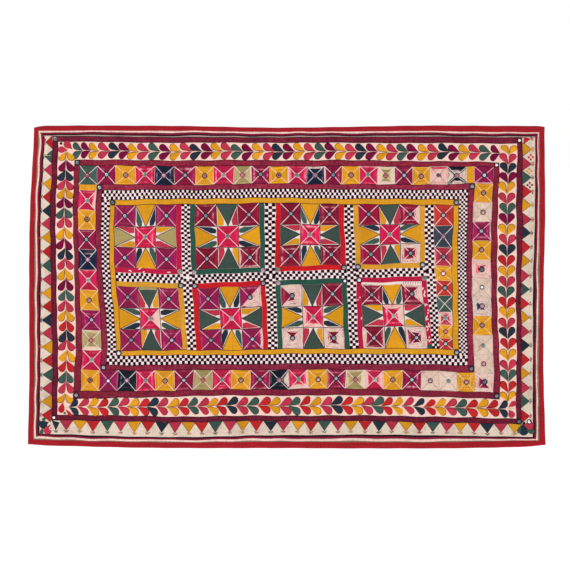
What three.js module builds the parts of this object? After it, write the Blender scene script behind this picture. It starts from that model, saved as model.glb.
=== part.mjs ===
import * as THREE from "three";

// Patchwork wall hanging: strips, borders and star blocks hand-sewn on a ground cloth with a bound edge.
// Millimetres, +Z up. The origin is the middle of the top edge, and the patchwork faces -Y.

// Driving dimensions
const hangingHeight = 1170;
const clothThickness = 1.2;
const pieceGap = 0.32; // between pieces, both side by side and front to back
const blockFrameWidth = 18;
const foldChamfer = 0.5; // how much the fold of the binding is rounded off
const ninePatchSeams = [0.34, 0.67]; // a star block's two inner seams, as shares of its side
const crossingRounds = 8; // enough for two crossing seams to agree on their meeting point

// Where each seam lies. The work is sewn by hand, so a seam wanders: five places along its own length.
// Left and right seams are given by x, from the seam's upper end to its lower end.
const leftSeams = [
  { seam: "edge", top: -923, upper: -938, middle: -942, lower: -941, foot: -947 },
  { seam: "binding", top: -908, upper: -920, middle: -922, lower: -922, foot: -927 },
  { seam: "piping", top: -885, upper: -899, middle: -899, lower: -901, foot: -904 },
  { seam: "triangle", top: -855, upper: -863, middle: -861, lower: -856, foot: -860 },
  { seam: "outerBand", top: -836, upper: -844, middle: -843, lower: -837, foot: -840 },
  { seam: "leaf", top: -776, upper: -780, middle: -775, lower: -770, foot: -781 },
  { seam: "middleBand", top: -757, upper: -763, middle: -759, lower: -748, foot: -753 },
  { seam: "square", top: -693, upper: -699, middle: -691, lower: -678, foot: -679 },
  { seam: "innerBand", top: -673, upper: -679, middle: -672, lower: -658, foot: -656 },
  { seam: "check", top: -645, upper: -649, middle: -643, lower: -631, foot: -622 },
  { seam: "mustard", top: -629, upper: -631, middle: -624, lower: -612, foot: -606 },
];
const rightSeams = [
  { seam: "edge", top: 944, upper: 945, middle: 939, lower: 939, foot: 947 },
  { seam: "binding", top: 926, upper: 925, middle: 923, lower: 921, foot: 923 },
  { seam: "piping", top: 910, upper: 907, middle: 900, lower: 900, foot: 900 },
  { seam: "triangle", top: 862, upper: 862, middle: 856, lower: 857, foot: 858 },
  { seam: "outerBand", top: 844, upper: 840, middle: 839, lower: 840, foot: 840 },
  { seam: "leaf", top: 778, upper: 771, middle: 767, lower: 773, foot: 780 },
  { seam: "middleBand", top: 758, upper: 749, middle: 746, lower: 752, foot: 756 },
  { seam: "square", top: 687, upper: 680, middle: 676, lower: 681, foot: 686 },
  { seam: "innerBand", top: 664, upper: 660, middle: 657, lower: 659, foot: 662 },
  { seam: "check", top: 631, upper: 628, middle: 626, lower: 628, foot: 631 },
  { seam: "mustard", top: 611, upper: 607, middle: 604, lower: 606, foot: 609 },
];

// Top and bottom seams are given by z, from the left end to the right end. The triangles have no top run.
const topSeams = [
  { seam: "edge", left: 7, midLeft: 7, middle: 0, midRight: 7, right: 6 },
  { seam: "binding", left: -12, midLeft: -12, middle: -16, midRight: -13, right: -18 },
  { seam: "piping", left: -31, midLeft: -35, middle: -36, midRight: -34, right: -37 },
  { seam: "outerBand", left: -51, midLeft: -55, middle: -55, midRight: -56, right: -58 },
  { seam: "leaf", left: -119, midLeft: -121, middle: -120, midRight: -122, right: -128 },
  { seam: "middleBand", left: -139, midLeft: -141, middle: -141, midRight: -142, right: -144 },
  { seam: "square", left: -208, midLeft: -210, middle: -205, midRight: -209, right: -206 },
  { seam: "innerBand", left: -230, midLeft: -228, middle: -225, midRight: -227, right: -228 },
  { seam: "check", left: -265, midLeft: -260, middle: -257, midRight: -261, right: -261 },
  { seam: "mustard", left: -285, midLeft: -281, middle: -277, midRight: -282, right: -283 },
];
const bottomSeams = [
  { seam: "edge", left: -1164, midLeft: -1172, middle: -1173, midRight: -1175, right: -1168 },
  { seam: "binding", left: -1143, midLeft: -1151, middle: -1149, midRight: -1152, right: -1144 },
  { seam: "piping", left: -1121, midLeft: -1132, middle: -1125, midRight: -1125, right: -1131 },
  { seam: "triangle", left: -1069, midLeft: -1076, middle: -1072, midRight: -1076, right: -1083 },
  { seam: "outerBand", left: -1050, midLeft: -1057, middle: -1054, midRight: -1056, right: -1065 },
  { seam: "leaf", left: -993, midLeft: -982, middle: -979, midRight: -981, right: -991 },
  { seam: "middleBand", left: -965, midLeft: -961, middle: -956, midRight: -957, right: -968 },
  { seam: "square", left: -887, midLeft: -887, middle: -885, midRight: -886, right: -895 },
  { seam: "innerBand", left: -869, midLeft: -866, middle: -864, midRight: -864, right: -869 },
  { seam: "check", left: -833, midLeft: -833, middle: -829, midRight: -828, right: -832 },
  { seam: "mustard", left: -814, midLeft: -814, middle: -810, midRight: -808, right: -810 },
];

// Checked sashing between the blocks: four uprights by the x of both sides, one crossing strip by its z
const uprightSashes = [
  { side: "left", top: -384, middle: -380, foot: -361 },
  { side: "right", top: -353, middle: -347, foot: -330 },
  { side: "left", top: -82, middle: -76, foot: -68 },
  { side: "right", top: -41, middle: -40, foot: -33 },
  { side: "left", top: 210, middle: 220, foot: 231 },
  { side: "right", top: 244, middle: 254, foot: 262 },
  { side: "left", top: 504, middle: 511, foot: 533 },
  { side: "right", top: 537, middle: 544, foot: 559 },
];
const crossSash = [
  { side: "upper", left: -530, midLeft: -538, middle: -526, midRight: -519, right: -508 },
  { side: "lower", left: -563, midLeft: -569, middle: -557, midRight: -549, right: -539 },
];

// Soft upright flutes that the cloth falls into below its held top edge, and the belly of the whole cloth
const flutes = [
  { pitch: 1240, depth: 4.2, phase: 0.6, lean: 0.1 },
  { pitch: 640, depth: 2.4, phase: 2.1, lean: -0.16 },
  { pitch: 410, depth: 1.1, phase: 4.0, lean: 0.22 },
];
const bellyDepth = 5;
const fluteStart = 0.4; // share of the height in which the flutes grow to their full depth

// Colours of the cloths
const cream = 0xe3cfb8;
const bindingRed = 0xa81c22;
const pipingRed = 0x5c1624;
const maroon = 0x7e2036;
const checkGrey = 0x7b7078;
const mustard = 0xd99a1e;
const silkPlum = 0x8a2348;
const framePink = 0xc23a62;
const frameGreen = 0x245a48;
const frameRed = 0xb52328;

// Value at a share from 0 to 1 of a smooth curve through evenly spaced values
function curveThrough(values, share) {
  const last = values.length - 1;
  const place = THREE.MathUtils.clamp(share, 0, 1) * last;
  const step = Math.min(Math.floor(place), last - 1);
  const before = values[Math.max(step - 1, 0)];
  const after = values[Math.min(step + 2, last)];
  const t = place - step;
  const slopeIn = (values[step + 1] - before) / 2;
  const slopeOut = (after - values[step]) / 2;
  const rise = values[step] - values[step + 1];
  const cubic = 2 * rise + slopeIn + slopeOut;
  const square = -3 * rise - 2 * slopeIn - slopeOut;
  return ((cubic * t + square) * t + slopeIn) * t + values[step];
}

const downColumns = (row) => [row.top, row.upper, row.middle, row.lower, row.foot];
const acrossColumns = (row) => [row.left, row.midLeft, row.middle, row.midRight, row.right];
const rowOf = (table, seam) => table.find((row) => row.seam === seam);

// The cloth's depth: y of its middle layer at a place on its face
function drape(x, z) {
  const down = -z / hangingHeight;
  const grown = THREE.MathUtils.smoothstep(down, 0, fluteStart);
  let y = -bellyDepth * Math.sin(Math.PI * THREE.MathUtils.clamp(down, 0, 1));
  for (const flute of flutes) {
    const turn = (2 * Math.PI * (x + flute.lean * z)) / flute.pitch + flute.phase;
    y += flute.depth * grown * Math.sin(turn);
  }
  return y;
}

// The face is one net of upright lines x(z) and level lines z(x). Every piece covers some of its meshes.
const uprightLines = [];
const levelLines = [];
const uprightAt = {};
const levelAt = {};

function addUpright(name, line) {
  uprightAt[name] = uprightLines.length;
  uprightLines.push(line);
}

function addLevel(name, line) {
  levelAt[name] = levelLines.length;
  levelLines.push(line);
}

// A side seam runs between the top and bottom seams of its own ring
function sideSeam(row) {
  const from = (rowOf(topSeams, row.seam) ?? rowOf(topSeams, "piping")).middle;
  const to = rowOf(bottomSeams, row.seam).middle;
  return (z) => curveThrough(downColumns(row), (z - from) / (to - from));
}

function levelSeam(row, ring = row.seam) {
  const from = rowOf(leftSeams, ring).middle;
  const to = rowOf(rightSeams, ring).middle;
  return (x) => curveThrough(acrossColumns(row), (x - from) / (to - from));
}

const blockTop = rowOf(topSeams, "mustard").middle;
const blockFoot = rowOf(bottomSeams, "mustard").middle;
const sashSide = (row) => (z) =>
  curveThrough([row.top, row.middle, row.foot], (z - blockTop) / (blockFoot - blockTop));
const moved = (line, by) => (at) => line(at) + by;
const between = (a, b, share) => (at) => THREE.MathUtils.lerp(a(at), b(at), share);

// Upright lines from left to right: the rings, each column's block, frames and sash, then the rings again
for (const row of leftSeams) {
  addUpright(`left_${row.seam}`, sideSeam(row));
}
const columnCount = uprightSashes.length / 2;
let blockLeft = uprightLines[uprightAt.left_mustard];
for (let column = 1; column <= columnCount; column += 1) {
  const sashLeft = sashSide(uprightSashes[2 * column - 2]);
  const sashRight = sashSide(uprightSashes[2 * column - 1]);
  const blockRight = moved(sashLeft, -blockFrameWidth);
  if (column > 1) {
    blockLeft = moved(blockLeft, blockFrameWidth);
    addUpright(`column_${column}_start`, blockLeft);
  }
  const innerSeams = ninePatchSeams.map((share) => between(blockLeft, blockRight, share));
  innerSeams.forEach((seam, i) => addUpright(`column_${column}_seam_${i}`, seam));
  addUpright(`column_${column}_end`, blockRight);
  addUpright(`sash_${column}_left`, sashLeft);
  addUpright(`sash_${column}_right`, sashRight);
  blockLeft = sashRight;
}
for (const row of [...rightSeams].reverse()) {
  addUpright(`right_${row.seam}`, sideSeam(row));
}

// Level lines from the top down
const sashTop = levelSeam(crossSash[0], "mustard");
const sashFoot = levelSeam(crossSash[1], "mustard");
for (const row of topSeams) {
  addLevel(`top_${row.seam}`, levelSeam(row));
}
const rowTop = levelLines[levelAt.top_mustard];
const rowFoot = levelSeam(rowOf(bottomSeams, "mustard"));
const upperEnd = moved(sashTop, blockFrameWidth);
const lowerStart = moved(sashFoot, -blockFrameWidth);
ninePatchSeams.forEach((share, i) => addLevel(`upper_seam_${i}`, between(rowTop, upperEnd, share)));
addLevel("upper_end", upperEnd);
addLevel("sash_top", sashTop);
addLevel("sash_foot", sashFoot);
addLevel("lower_start", lowerStart);
ninePatchSeams.forEach((share, i) => addLevel(`lower_seam_${i}`, between(lowerStart, rowFoot, share)));
for (const row of [...bottomSeams].reverse()) {
  addLevel(`bottom_${row.seam}`, levelSeam(row));
}

// Where an upright and a level line cross: each is read at the other's answer until they agree
const crossings = uprightLines.map((upright) =>
  levelLines.map((level) => {
    let x = upright(-hangingHeight / 2);
    let z = level(x);
    for (let round = 0; round < crossingRounds; round += 1) {
      x = upright(z);
      z = level(x);
    }
    return { x, z };
  }),
);

// Layers, as distances in front of the cloth's middle
const groundFace = clothThickness / 2;
const patchBack = groundFace + pieceGap;
const patchFace = patchBack + clothThickness;

function closedGeometry(points, faces) {
  const geometry = new THREE.BufferGeometry();
  geometry.setAttribute("position", new THREE.Float32BufferAttribute(points, 3));
  geometry.setIndex(faces);
  geometry.computeVertexNormals();
  return geometry;
}

// A slab of cloth over blocks of meshes { left, right, top, foot }, its rim drawn in from its neighbours
function slab(blocks, face, back, drawIn) {
  const covers = (i, j) =>
    blocks.some((b) => i >= b.left && i < b.right && j >= b.top && j < b.foot);
  const points = [];
  const faces = [];
  const numberOf = new Map();
  const corner = (i, j) => {
    const key = `${i},${j}`;
    if (!numberOf.has(key)) {
      const onLeft = covers(i - 1, j - 1) + covers(i - 1, j);
      const onRight = covers(i, j - 1) + covers(i, j);
      const above = covers(i - 1, j - 1) + covers(i, j - 1);
      const below = covers(i - 1, j) + covers(i, j);
      const x = crossings[i][j].x + Math.sign(onRight - onLeft) * drawIn;
      const z = crossings[i][j].z + Math.sign(above - below) * drawIn;
      const y = drape(x, z);
      numberOf.set(key, points.length / 3);
      points.push(x, y - face, z, x, y - back, z);
    }
    return numberOf.get(key);
  };
  const wall = (a, b) => faces.push(b, a, a + 1, b, a + 1, b + 1);
  for (let i = 0; i < uprightLines.length - 1; i += 1) {
    for (let j = 0; j < levelLines.length - 1; j += 1) {
      if (!covers(i, j)) continue;
      const a = corner(i, j);
      const b = corner(i, j + 1);
      const c = corner(i + 1, j + 1);
      const d = corner(i + 1, j);
      faces.push(a, b, c, a, c, d);
      faces.push(a + 1, c + 1, b + 1, a + 1, d + 1, c + 1);
      if (!covers(i - 1, j)) wall(a, b);
      if (!covers(i, j + 1)) wall(b, c);
      if (!covers(i + 1, j)) wall(c, d);
      if (!covers(i, j - 1)) wall(d, a);
    }
  }
  return closedGeometry(points, faces);
}

// The binding's section, as { inward, front }: a strip folded over the edge, open towards the cloth
function bindingSection(width) {
  return [
    { inward: foldChamfer, front: patchFace },
    { inward: width, front: patchFace },
    { inward: width, front: patchBack },
    { inward: clothThickness, front: patchBack },
    { inward: clothThickness, front: -patchBack },
    { inward: width, front: -patchBack },
    { inward: width, front: -patchFace },
    { inward: foldChamfer, front: -patchFace },
    { inward: 0, front: foldChamfer - patchFace },
    { inward: 0, front: patchFace - foldChamfer },
  ];
}

// The binding's solid along stations { outer, inner }, two places on the edge and on the binding's seam
function foldedStrip(stations) {
  const points = [];
  const faces = [];
  const sections = stations.map(({ outer, inner }) => {
    const width = Math.hypot(inner.x - outer.x, inner.z - outer.z);
    const section = bindingSection(width - pieceGap / 2);
    for (const { inward, front } of section) {
      const x = THREE.MathUtils.lerp(outer.x, inner.x, inward / width);
      const z = THREE.MathUtils.lerp(outer.z, inner.z, inward / width);
      points.push(x, drape(x, z) - front, z);
    }
    return section;
  });
  const sides = sections[0].length;
  for (let station = 0; station < stations.length - 1; station += 1) {
    for (let side = 0; side < sides; side += 1) {
      const a = station * sides + side;
      const b = station * sides + ((side + 1) % sides);
      faces.push(a, b, b + sides, a, b + sides, a + sides);
    }
  }
  const outline = sections[0].map(({ inward, front }) => new THREE.Vector2(inward, front));
  const lastSection = (stations.length - 1) * sides;
  for (const [a, b, c] of THREE.ShapeUtils.triangulateShape(outline, [])) {
    faces.push(a, b, c, lastSection + a, lastSection + c, lastSection + b);
  }
  return closedGeometry(points, turnedOutward(points, faces));
}

// The triangles as given, or all turned over if they enclose a negative volume
function turnedOutward(points, faces) {
  const at = (n) => new THREE.Vector3().fromArray(points, 3 * n);
  let volume = 0;
  for (let n = 0; n < faces.length; n += 3) {
    volume += at(faces[n]).dot(at(faces[n + 1]).cross(at(faces[n + 2])));
  }
  return volume > 0 ? faces : faces.toReversed();
}

const hanging = new THREE.Group();

function addPiece(name, geometry, color) {
  const material = new THREE.MeshStandardMaterial({ color, roughness: 0.9, metalness: 0 });
  const piece = new THREE.Mesh(geometry, material);
  piece.name = name;
  hanging.add(piece);
}

const area = (left, right, top, foot) => ({
  left: uprightAt[left],
  right: uprightAt[right],
  top: levelAt[top],
  foot: levelAt[foot],
});

function addPatch(name, blocks, color) {
  addPiece(name, slab(blocks, patchFace, patchBack, pieceGap / 2), color);
}

// Ground cloth, held inside the fold of the binding
const groundArea = area("left_edge", "right_edge", "top_edge", "bottom_edge");
addPiece("ground_cloth", slab([groundArea], groundFace, -groundFace, clothThickness + pieceGap), cream);

// Binding: the top and bottom strips run the full width and the sides fit between them
function stationsAcross(edge, seam) {
  return crossings.map((column) => ({ outer: column[levelAt[edge]], inner: column[levelAt[seam]] }));
}

function stationsDown(edge, seam) {
  const stations = [];
  for (let j = levelAt.top_binding; j <= levelAt.bottom_binding; j += 1) {
    const outer = { ...crossings[uprightAt[edge]][j] };
    const inner = { ...crossings[uprightAt[seam]][j] };
    stations.push({ outer, inner });
  }
  const first = stations[0];
  const last = stations[stations.length - 1];
  for (const side of ["outer", "inner"]) {
    first[side].z -= pieceGap;
    last[side].z += pieceGap;
  }
  return stations;
}

addPiece("binding_top", foldedStrip(stationsAcross("top_edge", "top_binding")), bindingRed);
addPiece("binding_bottom", foldedStrip(stationsAcross("bottom_edge", "bottom_binding")), bindingRed);
addPiece("binding_left", foldedStrip(stationsDown("left_edge", "left_binding")), bindingRed);
addPiece("binding_right", foldedStrip(stationsDown("right_edge", "right_binding")), bindingRed);

// Rings of strips from the outside in. Top and bottom strips own the corners, but not the leaves' at the top.
function addRing(name, outer, inner, color, sidesOwnTop = false) {
  const topLeft = sidesOwnTop ? `left_${inner}` : `left_${outer}`;
  const topRight = sidesOwnTop ? `right_${inner}` : `right_${outer}`;
  const sideTop = sidesOwnTop ? `top_${outer}` : `top_${inner}`;
  addPatch(`${name}_top`, [area(topLeft, topRight, `top_${outer}`, `top_${inner}`)], color);
  const bottom = area(`left_${outer}`, `right_${outer}`, `bottom_${inner}`, `bottom_${outer}`);
  addPatch(`${name}_bottom`, [bottom], color);
  addPatch(`${name}_left`, [area(`left_${outer}`, `left_${inner}`, sideTop, `bottom_${inner}`)], color);
  addPatch(`${name}_right`, [area(`right_${inner}`, `right_${outer}`, sideTop, `bottom_${inner}`)], color);
}

addRing("piping", "binding", "piping", pipingRed);
addPatch(
  "triangle_border_left",
  [area("left_piping", "left_triangle", "top_piping", "bottom_triangle")],
  cream,
);
addPatch(
  "triangle_border_right",
  [area("right_triangle", "right_piping", "top_piping", "bottom_triangle")],
  cream,
);
addPatch(
  "triangle_border_bottom",
  [area("left_piping", "right_piping", "bottom_triangle", "bottom_piping")],
  cream,
);

// The outer band starts at the triangles, and at the piping along the top
addPatch(
  "outer_band_top",
  [area("left_triangle", "right_triangle", "top_piping", "top_outerBand")],
  maroon,
);
addPatch(
  "outer_band_bottom",
  [area("left_triangle", "right_triangle", "bottom_outerBand", "bottom_triangle")],
  maroon,
);
addPatch(
  "outer_band_left",
  [area("left_triangle", "left_outerBand", "top_outerBand", "bottom_outerBand")],
  maroon,
);
addPatch(
  "outer_band_right",
  [area("right_outerBand", "right_triangle", "top_outerBand", "bottom_outerBand")],
  maroon,
);

addRing("leaf_border", "outerBand", "leaf", cream, true);
addRing("middle_band", "leaf", "middleBand", maroon);
addRing("square_border", "middleBand", "square", silkPlum);
addRing("inner_band", "square", "innerBand", maroon);
addRing("check_border", "innerBand", "check", checkGrey);
addRing("mustard_frame", "check", "mustard", mustard);

// Star blocks in two rows of four, each with a coloured frame on the sides that meet the sashing
const frameColors = {
  upper: [framePink, frameGreen, frameRed, mustard],
  lower: [mustard, frameRed, frameGreen, framePink],
};
const blockRows = [
  {
    row: "upper",
    top: "top_mustard",
    foot: "upper_end",
    outerTop: "top_mustard",
    outerFoot: "sash_top",
  },
  {
    row: "lower",
    top: "lower_start",
    foot: "bottom_mustard",
    outerTop: "sash_foot",
    outerFoot: "bottom_mustard",
  },
];
for (const { row, top, foot, outerTop, outerFoot } of blockRows) {
  for (let column = 1; column <= columnCount; column += 1) {
    const first = column === 1;
    const start = first ? "left_mustard" : `column_${column}_start`;
    const end = `column_${column}_end`;
    const outerStart = first ? "left_mustard" : `sash_${column - 1}_right`;
    const outerEnd = `sash_${column}_left`;
    addPatch(`star_block_${row}_${column}`, [area(start, end, top, foot)], silkPlum);
    const strips = [area(end, outerEnd, outerTop, outerFoot)];
    if (!first) strips.push(area(outerStart, start, outerTop, outerFoot));
    const levelStrip = row === "upper" ? [foot, outerFoot] : [outerTop, top];
    strips.push(area(outerStart, outerEnd, ...levelStrip));
    addPatch(`block_frame_${row}_${column}`, strips, frameColors[row][column - 1]);
  }
}

// Checked sashing, one lattice of four uprights and a crossing strip
const sashing = [area("left_mustard", `sash_${columnCount}_left`, "sash_top", "sash_foot")];
for (let column = 1; column <= columnCount; column += 1) {
  sashing.push(area(`sash_${column}_left`, `sash_${column}_right`, "top_mustard", "bottom_mustard"));
}
addPatch("check_sashing", sashing, checkGrey);

// Column of squares between the last sash and the mustard frame
const squareColumn = area(`sash_${columnCount}_right`, "right_mustard", "top_mustard", "bottom_mustard");
addPatch("square_column", [squareColumn], silkPlum);

export default hanging;
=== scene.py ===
import math
import random

import bpy
import numpy as np
from mathutils import Matrix, Vector


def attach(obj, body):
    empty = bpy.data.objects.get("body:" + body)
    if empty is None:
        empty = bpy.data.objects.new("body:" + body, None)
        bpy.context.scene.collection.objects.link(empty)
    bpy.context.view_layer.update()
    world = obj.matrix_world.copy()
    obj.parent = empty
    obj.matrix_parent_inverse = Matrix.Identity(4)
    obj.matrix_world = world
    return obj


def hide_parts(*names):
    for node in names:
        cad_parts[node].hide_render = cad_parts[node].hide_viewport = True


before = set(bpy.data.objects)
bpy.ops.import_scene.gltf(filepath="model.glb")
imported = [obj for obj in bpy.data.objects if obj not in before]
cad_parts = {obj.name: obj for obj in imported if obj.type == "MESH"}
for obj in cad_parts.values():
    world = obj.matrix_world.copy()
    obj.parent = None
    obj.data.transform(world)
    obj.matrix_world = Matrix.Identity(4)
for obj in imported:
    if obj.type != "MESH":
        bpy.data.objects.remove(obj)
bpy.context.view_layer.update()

mm = 0.001
unit = 1 / mm  # a size of one metre; such a shape has its thickness from its node tree
sides = ("top", "bottom", "left", "right")
dice = random.Random(5403)


# a random number up to this far either way
def either(far):
    return dice.uniform(-far, far)


# dyes of the cloth as seen in the photograph
dyes = {
    "cream": "#EACDBC", "lining": "#F3D4C6", "leafGround": "#FFD9CA", "sawGround": "#E7D2C0",
    "ground": "#E5D2BD", "checkWhite": "#FFEAE9", "checkBlack": "#200010", "binding": "#A9202A",
    "teaStain": "#A27F60", "olivePiping": "#8B7B63", "creamPiping": "#F6D3C8", "oxblood": "#7C1830",
    "inkBlue": "#241826", "greyPiping": "#B79C92", "outerMaroon": "#74202F", "middleMaroon": "#8E2A39",
    "innerMaroon": "#963042", "shotPurple": "#4A1442", "shotPlum": "#6E1444", "mustard": "#DF9C26",
    "framePink": "#C01E45", "frameGreen": "#2C5648", "frameRed": "#CB1E26", "frameMustard": "#DB9C30",
    "green": "#3F5950", "spruce": "#42514B", "plum": "#76103A", "yellow": "#E09A20", "rose": "#BF354C",
    "pink": "#C21848", "navy": "#27323F", "red": "#BF272B", "olive": "#AC9A66", "magenta": "#90154B",
    "wine": "#820E2F", "crimson": "#CC1648", "silkPlum": "#8C0F3E", "ink": "#251C2C", "rust": "#7A1C14",
    "mauve": "#7A4A66", "scarlet": "#A8242A", "thread": "#20141A", "starGround": "#F7E3DA",
    # seam is a dark thread colour that also stands for painted shade in the seams
    "stem": "#E9BCAE", "seam": "#2A0E18", "silver": "#B0B9C4", "pearl": "#E4E2EC", "greenGlass": "#93A598",
    "lilac": "#C7A6B6", "slate": "#66767E", "blank": "#FFFFFF", "black": "#101014", "mossGlass": "#7E958C",
    "pinkThread": "#F7B2CA", "paleThread": "#FCE4E6", "butterThread": "#F8DEAE", "greyThread": "#D6D8E0",
    "ravel": "#D3B9AA", "silkNavy": "#131D36", "midnight": "#0D1722", "brick": "#AC2C44",
    "dullGlass": "#AB9DA2", "roseGlass": "#B58E98", "claret": "#950C38", "dusk": "#38414E",
    # frayAndHighlight is the pale pink of frayed silk and of painted highlight on silk folds
    "vermilion": "#C2352E", "frayAndHighlight": "#F4CCD2",
}


def linear(name):
    code = dyes[name]
    parts = [int(code[k:k + 2], 16) / 255 for k in (1, 3, 5)]
    return [p / 12.92 if p <= 0.04045 else ((p + 0.055) / 1.055) ** 2.4 for p in parts] + [1.0]


# one node with its settings, shader nodes by their short names and sums by their operation; inputs go by
# name or in the order of the sockets, as in a map range: value, from min, from max, to min, to max; a value
# that is a socket is linked, a list of sockets is linked one by one; gives the output asked for, or all
def put(tree, kind, inputs=(), out=0, **settings):
    if kind.isupper():
        kind, settings = "Math", {"operation": kind}
    node = tree.nodes.new(kind if "Node" in kind else "ShaderNode" + kind)
    for key, value in settings.items():
        setattr(node, key, value)
    for socket, value in inputs.items() if isinstance(inputs, dict) else enumerate(inputs):
        if isinstance(value, bpy.types.NodeSocket):
            tree.links.new(value, node.inputs[socket])
        elif isinstance(value, list) and isinstance(value[0], bpy.types.NodeSocket):
            for one in value:
                tree.links.new(one, node.inputs[socket])
        else:
            node.inputs[socket].default_value = value
    return node.outputs if out is None else node.outputs[out]


# how the cloth hangs, the same rule as the solids: a shallow belly and slow flutes that grow downward
hang = {
    "height": 1170, "belly": 5, "fluteStart": 0.4,
    # pitch, depth, phase and lean of each
    "flutes": ((1240, 4.2, 0.6, 0.1), (640, 2.4, 2.1, -0.16), (410, 1.1, 4.0, 0.22)),
}


def drape(x, z):
    down = np.clip(-z / hang["height"], 0, 1)
    grown = np.clip(down / hang["fluteStart"], 0, 1)
    grown = grown * grown * (3 - 2 * grown)
    y = -hang["belly"] * np.sin(np.pi * down)
    for pitch, depth, phase, lean in hang["flutes"]:
        y = y + depth * grown * np.sin(2 * np.pi * (x + lean * z) / pitch + phase)
    return y


# a wave along one way of the cloth that bends along the other
def bentWave(here, there, pitch, bend, bendPitch):
    return np.sin(here / pitch + bend * np.sin(there / bendPitch))


# how far hand-sewn seams stray in the plane of the cloth, mm; the bound edge is straighter; each way has a
# fine wave that bends and a slow one aslant
wander = {"fine": 1.3, "slow": 1.0, "halfWidth": 945, "border": 90, "atEdge": 0.25,
          "fineX": (19, 1.4, 43), "slowX": (61, -83), "fineZ": (21, 1.2, 47), "slowZ": (67, 71)}


def stray(here, there, fine, slow):
    aslant = np.sin(here / slow[0] + there / slow[1])
    return wander["fine"] * bentWave(here, there, *fine) + wander["slow"] * aslant


# a point in front of the cloth's middle, in metres
def onCloth(x, z, lift):
    x, z, lift = np.broadcast_arrays(np.asarray(x, float), np.asarray(z, float), np.asarray(lift, float))
    strayX = stray(z, x, wander["fineX"], wander["slowX"])
    strayZ = stray(x, z, wander["fineZ"], wander["slowZ"])
    inward = np.minimum(wander["halfWidth"] - np.abs(x), np.minimum(-z, hang["height"] + z))
    calm = np.clip(inward / wander["border"], wander["atEdge"], 1)
    return np.stack([x + strayX * calm, drape(x, z) - lift, z + strayZ * calm], -1) * mm


# turns a shape's own x along a direction on the cloth and its z out of the face
def turnOnCloth(x, z, across, up):
    step = 2.0
    slopeX = float(drape(x + step, z) - drape(x - step, z)) / (2 * step)
    slopeZ = float(drape(x, z + step) - drape(x, z - step)) / (2 * step)
    out = np.array([slopeX, -1.0, slopeZ])
    out /= np.linalg.norm(out)
    ahead = np.array([across, slopeX * across + slopeZ * up, up])
    ahead /= np.linalg.norm(ahead)
    side = np.cross(out, ahead)
    return Matrix(np.array([ahead, side, out]).T.tolist()).to_euler("XYZ")


# seam points of a solid, without doubles, in mm
def seamPoints(name):
    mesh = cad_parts[name].data
    flat = np.empty(len(mesh.vertices) * 3)
    mesh.vertices.foreach_get("co", flat)
    points = flat.reshape(-1, 3)[:, (0, 2)] / mm
    return np.unique(np.round(points, 2), axis=0)


netStep = 5  # seam points less than this apart along a strip, in mm, are across from each other


# the two long seams of a strip: upper and lower, or left and right
def stripSeams(name):
    points = seamPoints(name)
    axis = 0 if np.ptp(points[:, 0]) > np.ptp(points[:, 1]) else 1
    points = points[np.argsort(points[:, axis] if axis == 0 else -points[:, 1])]
    breaks = np.where(np.abs(np.diff(points[:, axis])) > netStep)[0] + 1
    first, second = [], []
    for group in np.split(points, breaks):
        order = group[np.argsort(-group[:, 1] if axis == 0 else group[:, 0])]
        first.append(order[0])
        second.append(order[-1])
    return {"axis": axis, "first": np.array(first), "second": np.array(second)}


# a strip from two given rows of points
def stripBetween(first, second, axis):
    return {"axis": axis, "first": np.array(first, float), "second": np.array(second, float)}


# s runs along a strip from 0 to 1, t from its first seam to its second
def stripPlace(strip, s, t):
    axis = strip["axis"]
    seams = []
    for rail in (strip["first"], strip["second"]):
        along = rail[0, axis] + (rail[-1, axis] - rail[0, axis]) * s
        sign = 1 if axis == 0 else -1
        other = np.interp(sign * along, sign * rail[:, axis], rail[:, 1 - axis])
        seams.append((along, other) if axis == 0 else (other, along))
    (x0, z0), (x1, z1) = seams
    return x0 + (x1 - x0) * t, z0 + (z1 - z0) * t


def stripSize(strip):
    length = abs(strip["first"][-1, strip["axis"]] - strip["first"][0, strip["axis"]])
    width = np.linalg.norm(strip["second"] - strip["first"], axis=1).mean()
    return length, width


# share along a strip of a place given in mm from the frame's origin
def stripShare(strip, place):
    ends = strip["first"][[0, -1], strip["axis"]]
    return (place - ends[0]) / (ends[1] - ends[0])


# the four-by-four seam crossings of a star block, rows from the top
def blockNet(name):
    points = seamPoints(name)
    points = points[np.argsort(-points[:, 1])].reshape(4, 4, 2)
    return np.array([row[np.argsort(row[:, 0])] for row in points])


def netPlace(net, s, t):
    column, row = np.clip(s, 0, 1) * 3, np.clip(t, 0, 1) * 3
    i, j = np.minimum(column.astype(int), 2), np.minimum(row.astype(int), 2)
    a, b = (column - i)[..., None], (row - j)[..., None]
    top = net[j, i] * (1 - a) + net[j, i + 1] * a
    foot = net[j + 1, i] * (1 - a) + net[j + 1, i + 1] * a
    both = top * (1 - b) + foot * b
    return both[..., 0], both[..., 1]


# turned-under rims: stops in from the edge in mm, how far the cloth has risen there, and the smallest piece
# that has a full rim
rim = {"stops": (0, 0.15, 0.9, 2.2), "rise": (0, 0.62, 0.93, 1.0), "full": 8}
# cloth puckers beside its seams and ripples all over; waves give pitch in mm, bend and its pitch
crease = {"reach": 9, "pucker": (6.1, 2.3, 31), "skew": 3, "rippleX": (17, 1.7, 29), "rippleZ": (13, 1.3, 23),
          "under": 0.4}
longSlab = 24  # a slab with more rows than this has its back in strips, a shorter one in one face


# shares along a side, close together at the rims
def sideStops(length, step):
    edge = np.array(rim["stops"]) * min(1, length / rim["full"])
    count = max(1, round((length - 2 * edge[-1]) / step))
    middle = np.linspace(edge[-1], length - edge[-1], count + 1)
    return np.concatenate([edge[:-1], middle, length - edge[-2::-1]]) / length


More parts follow.
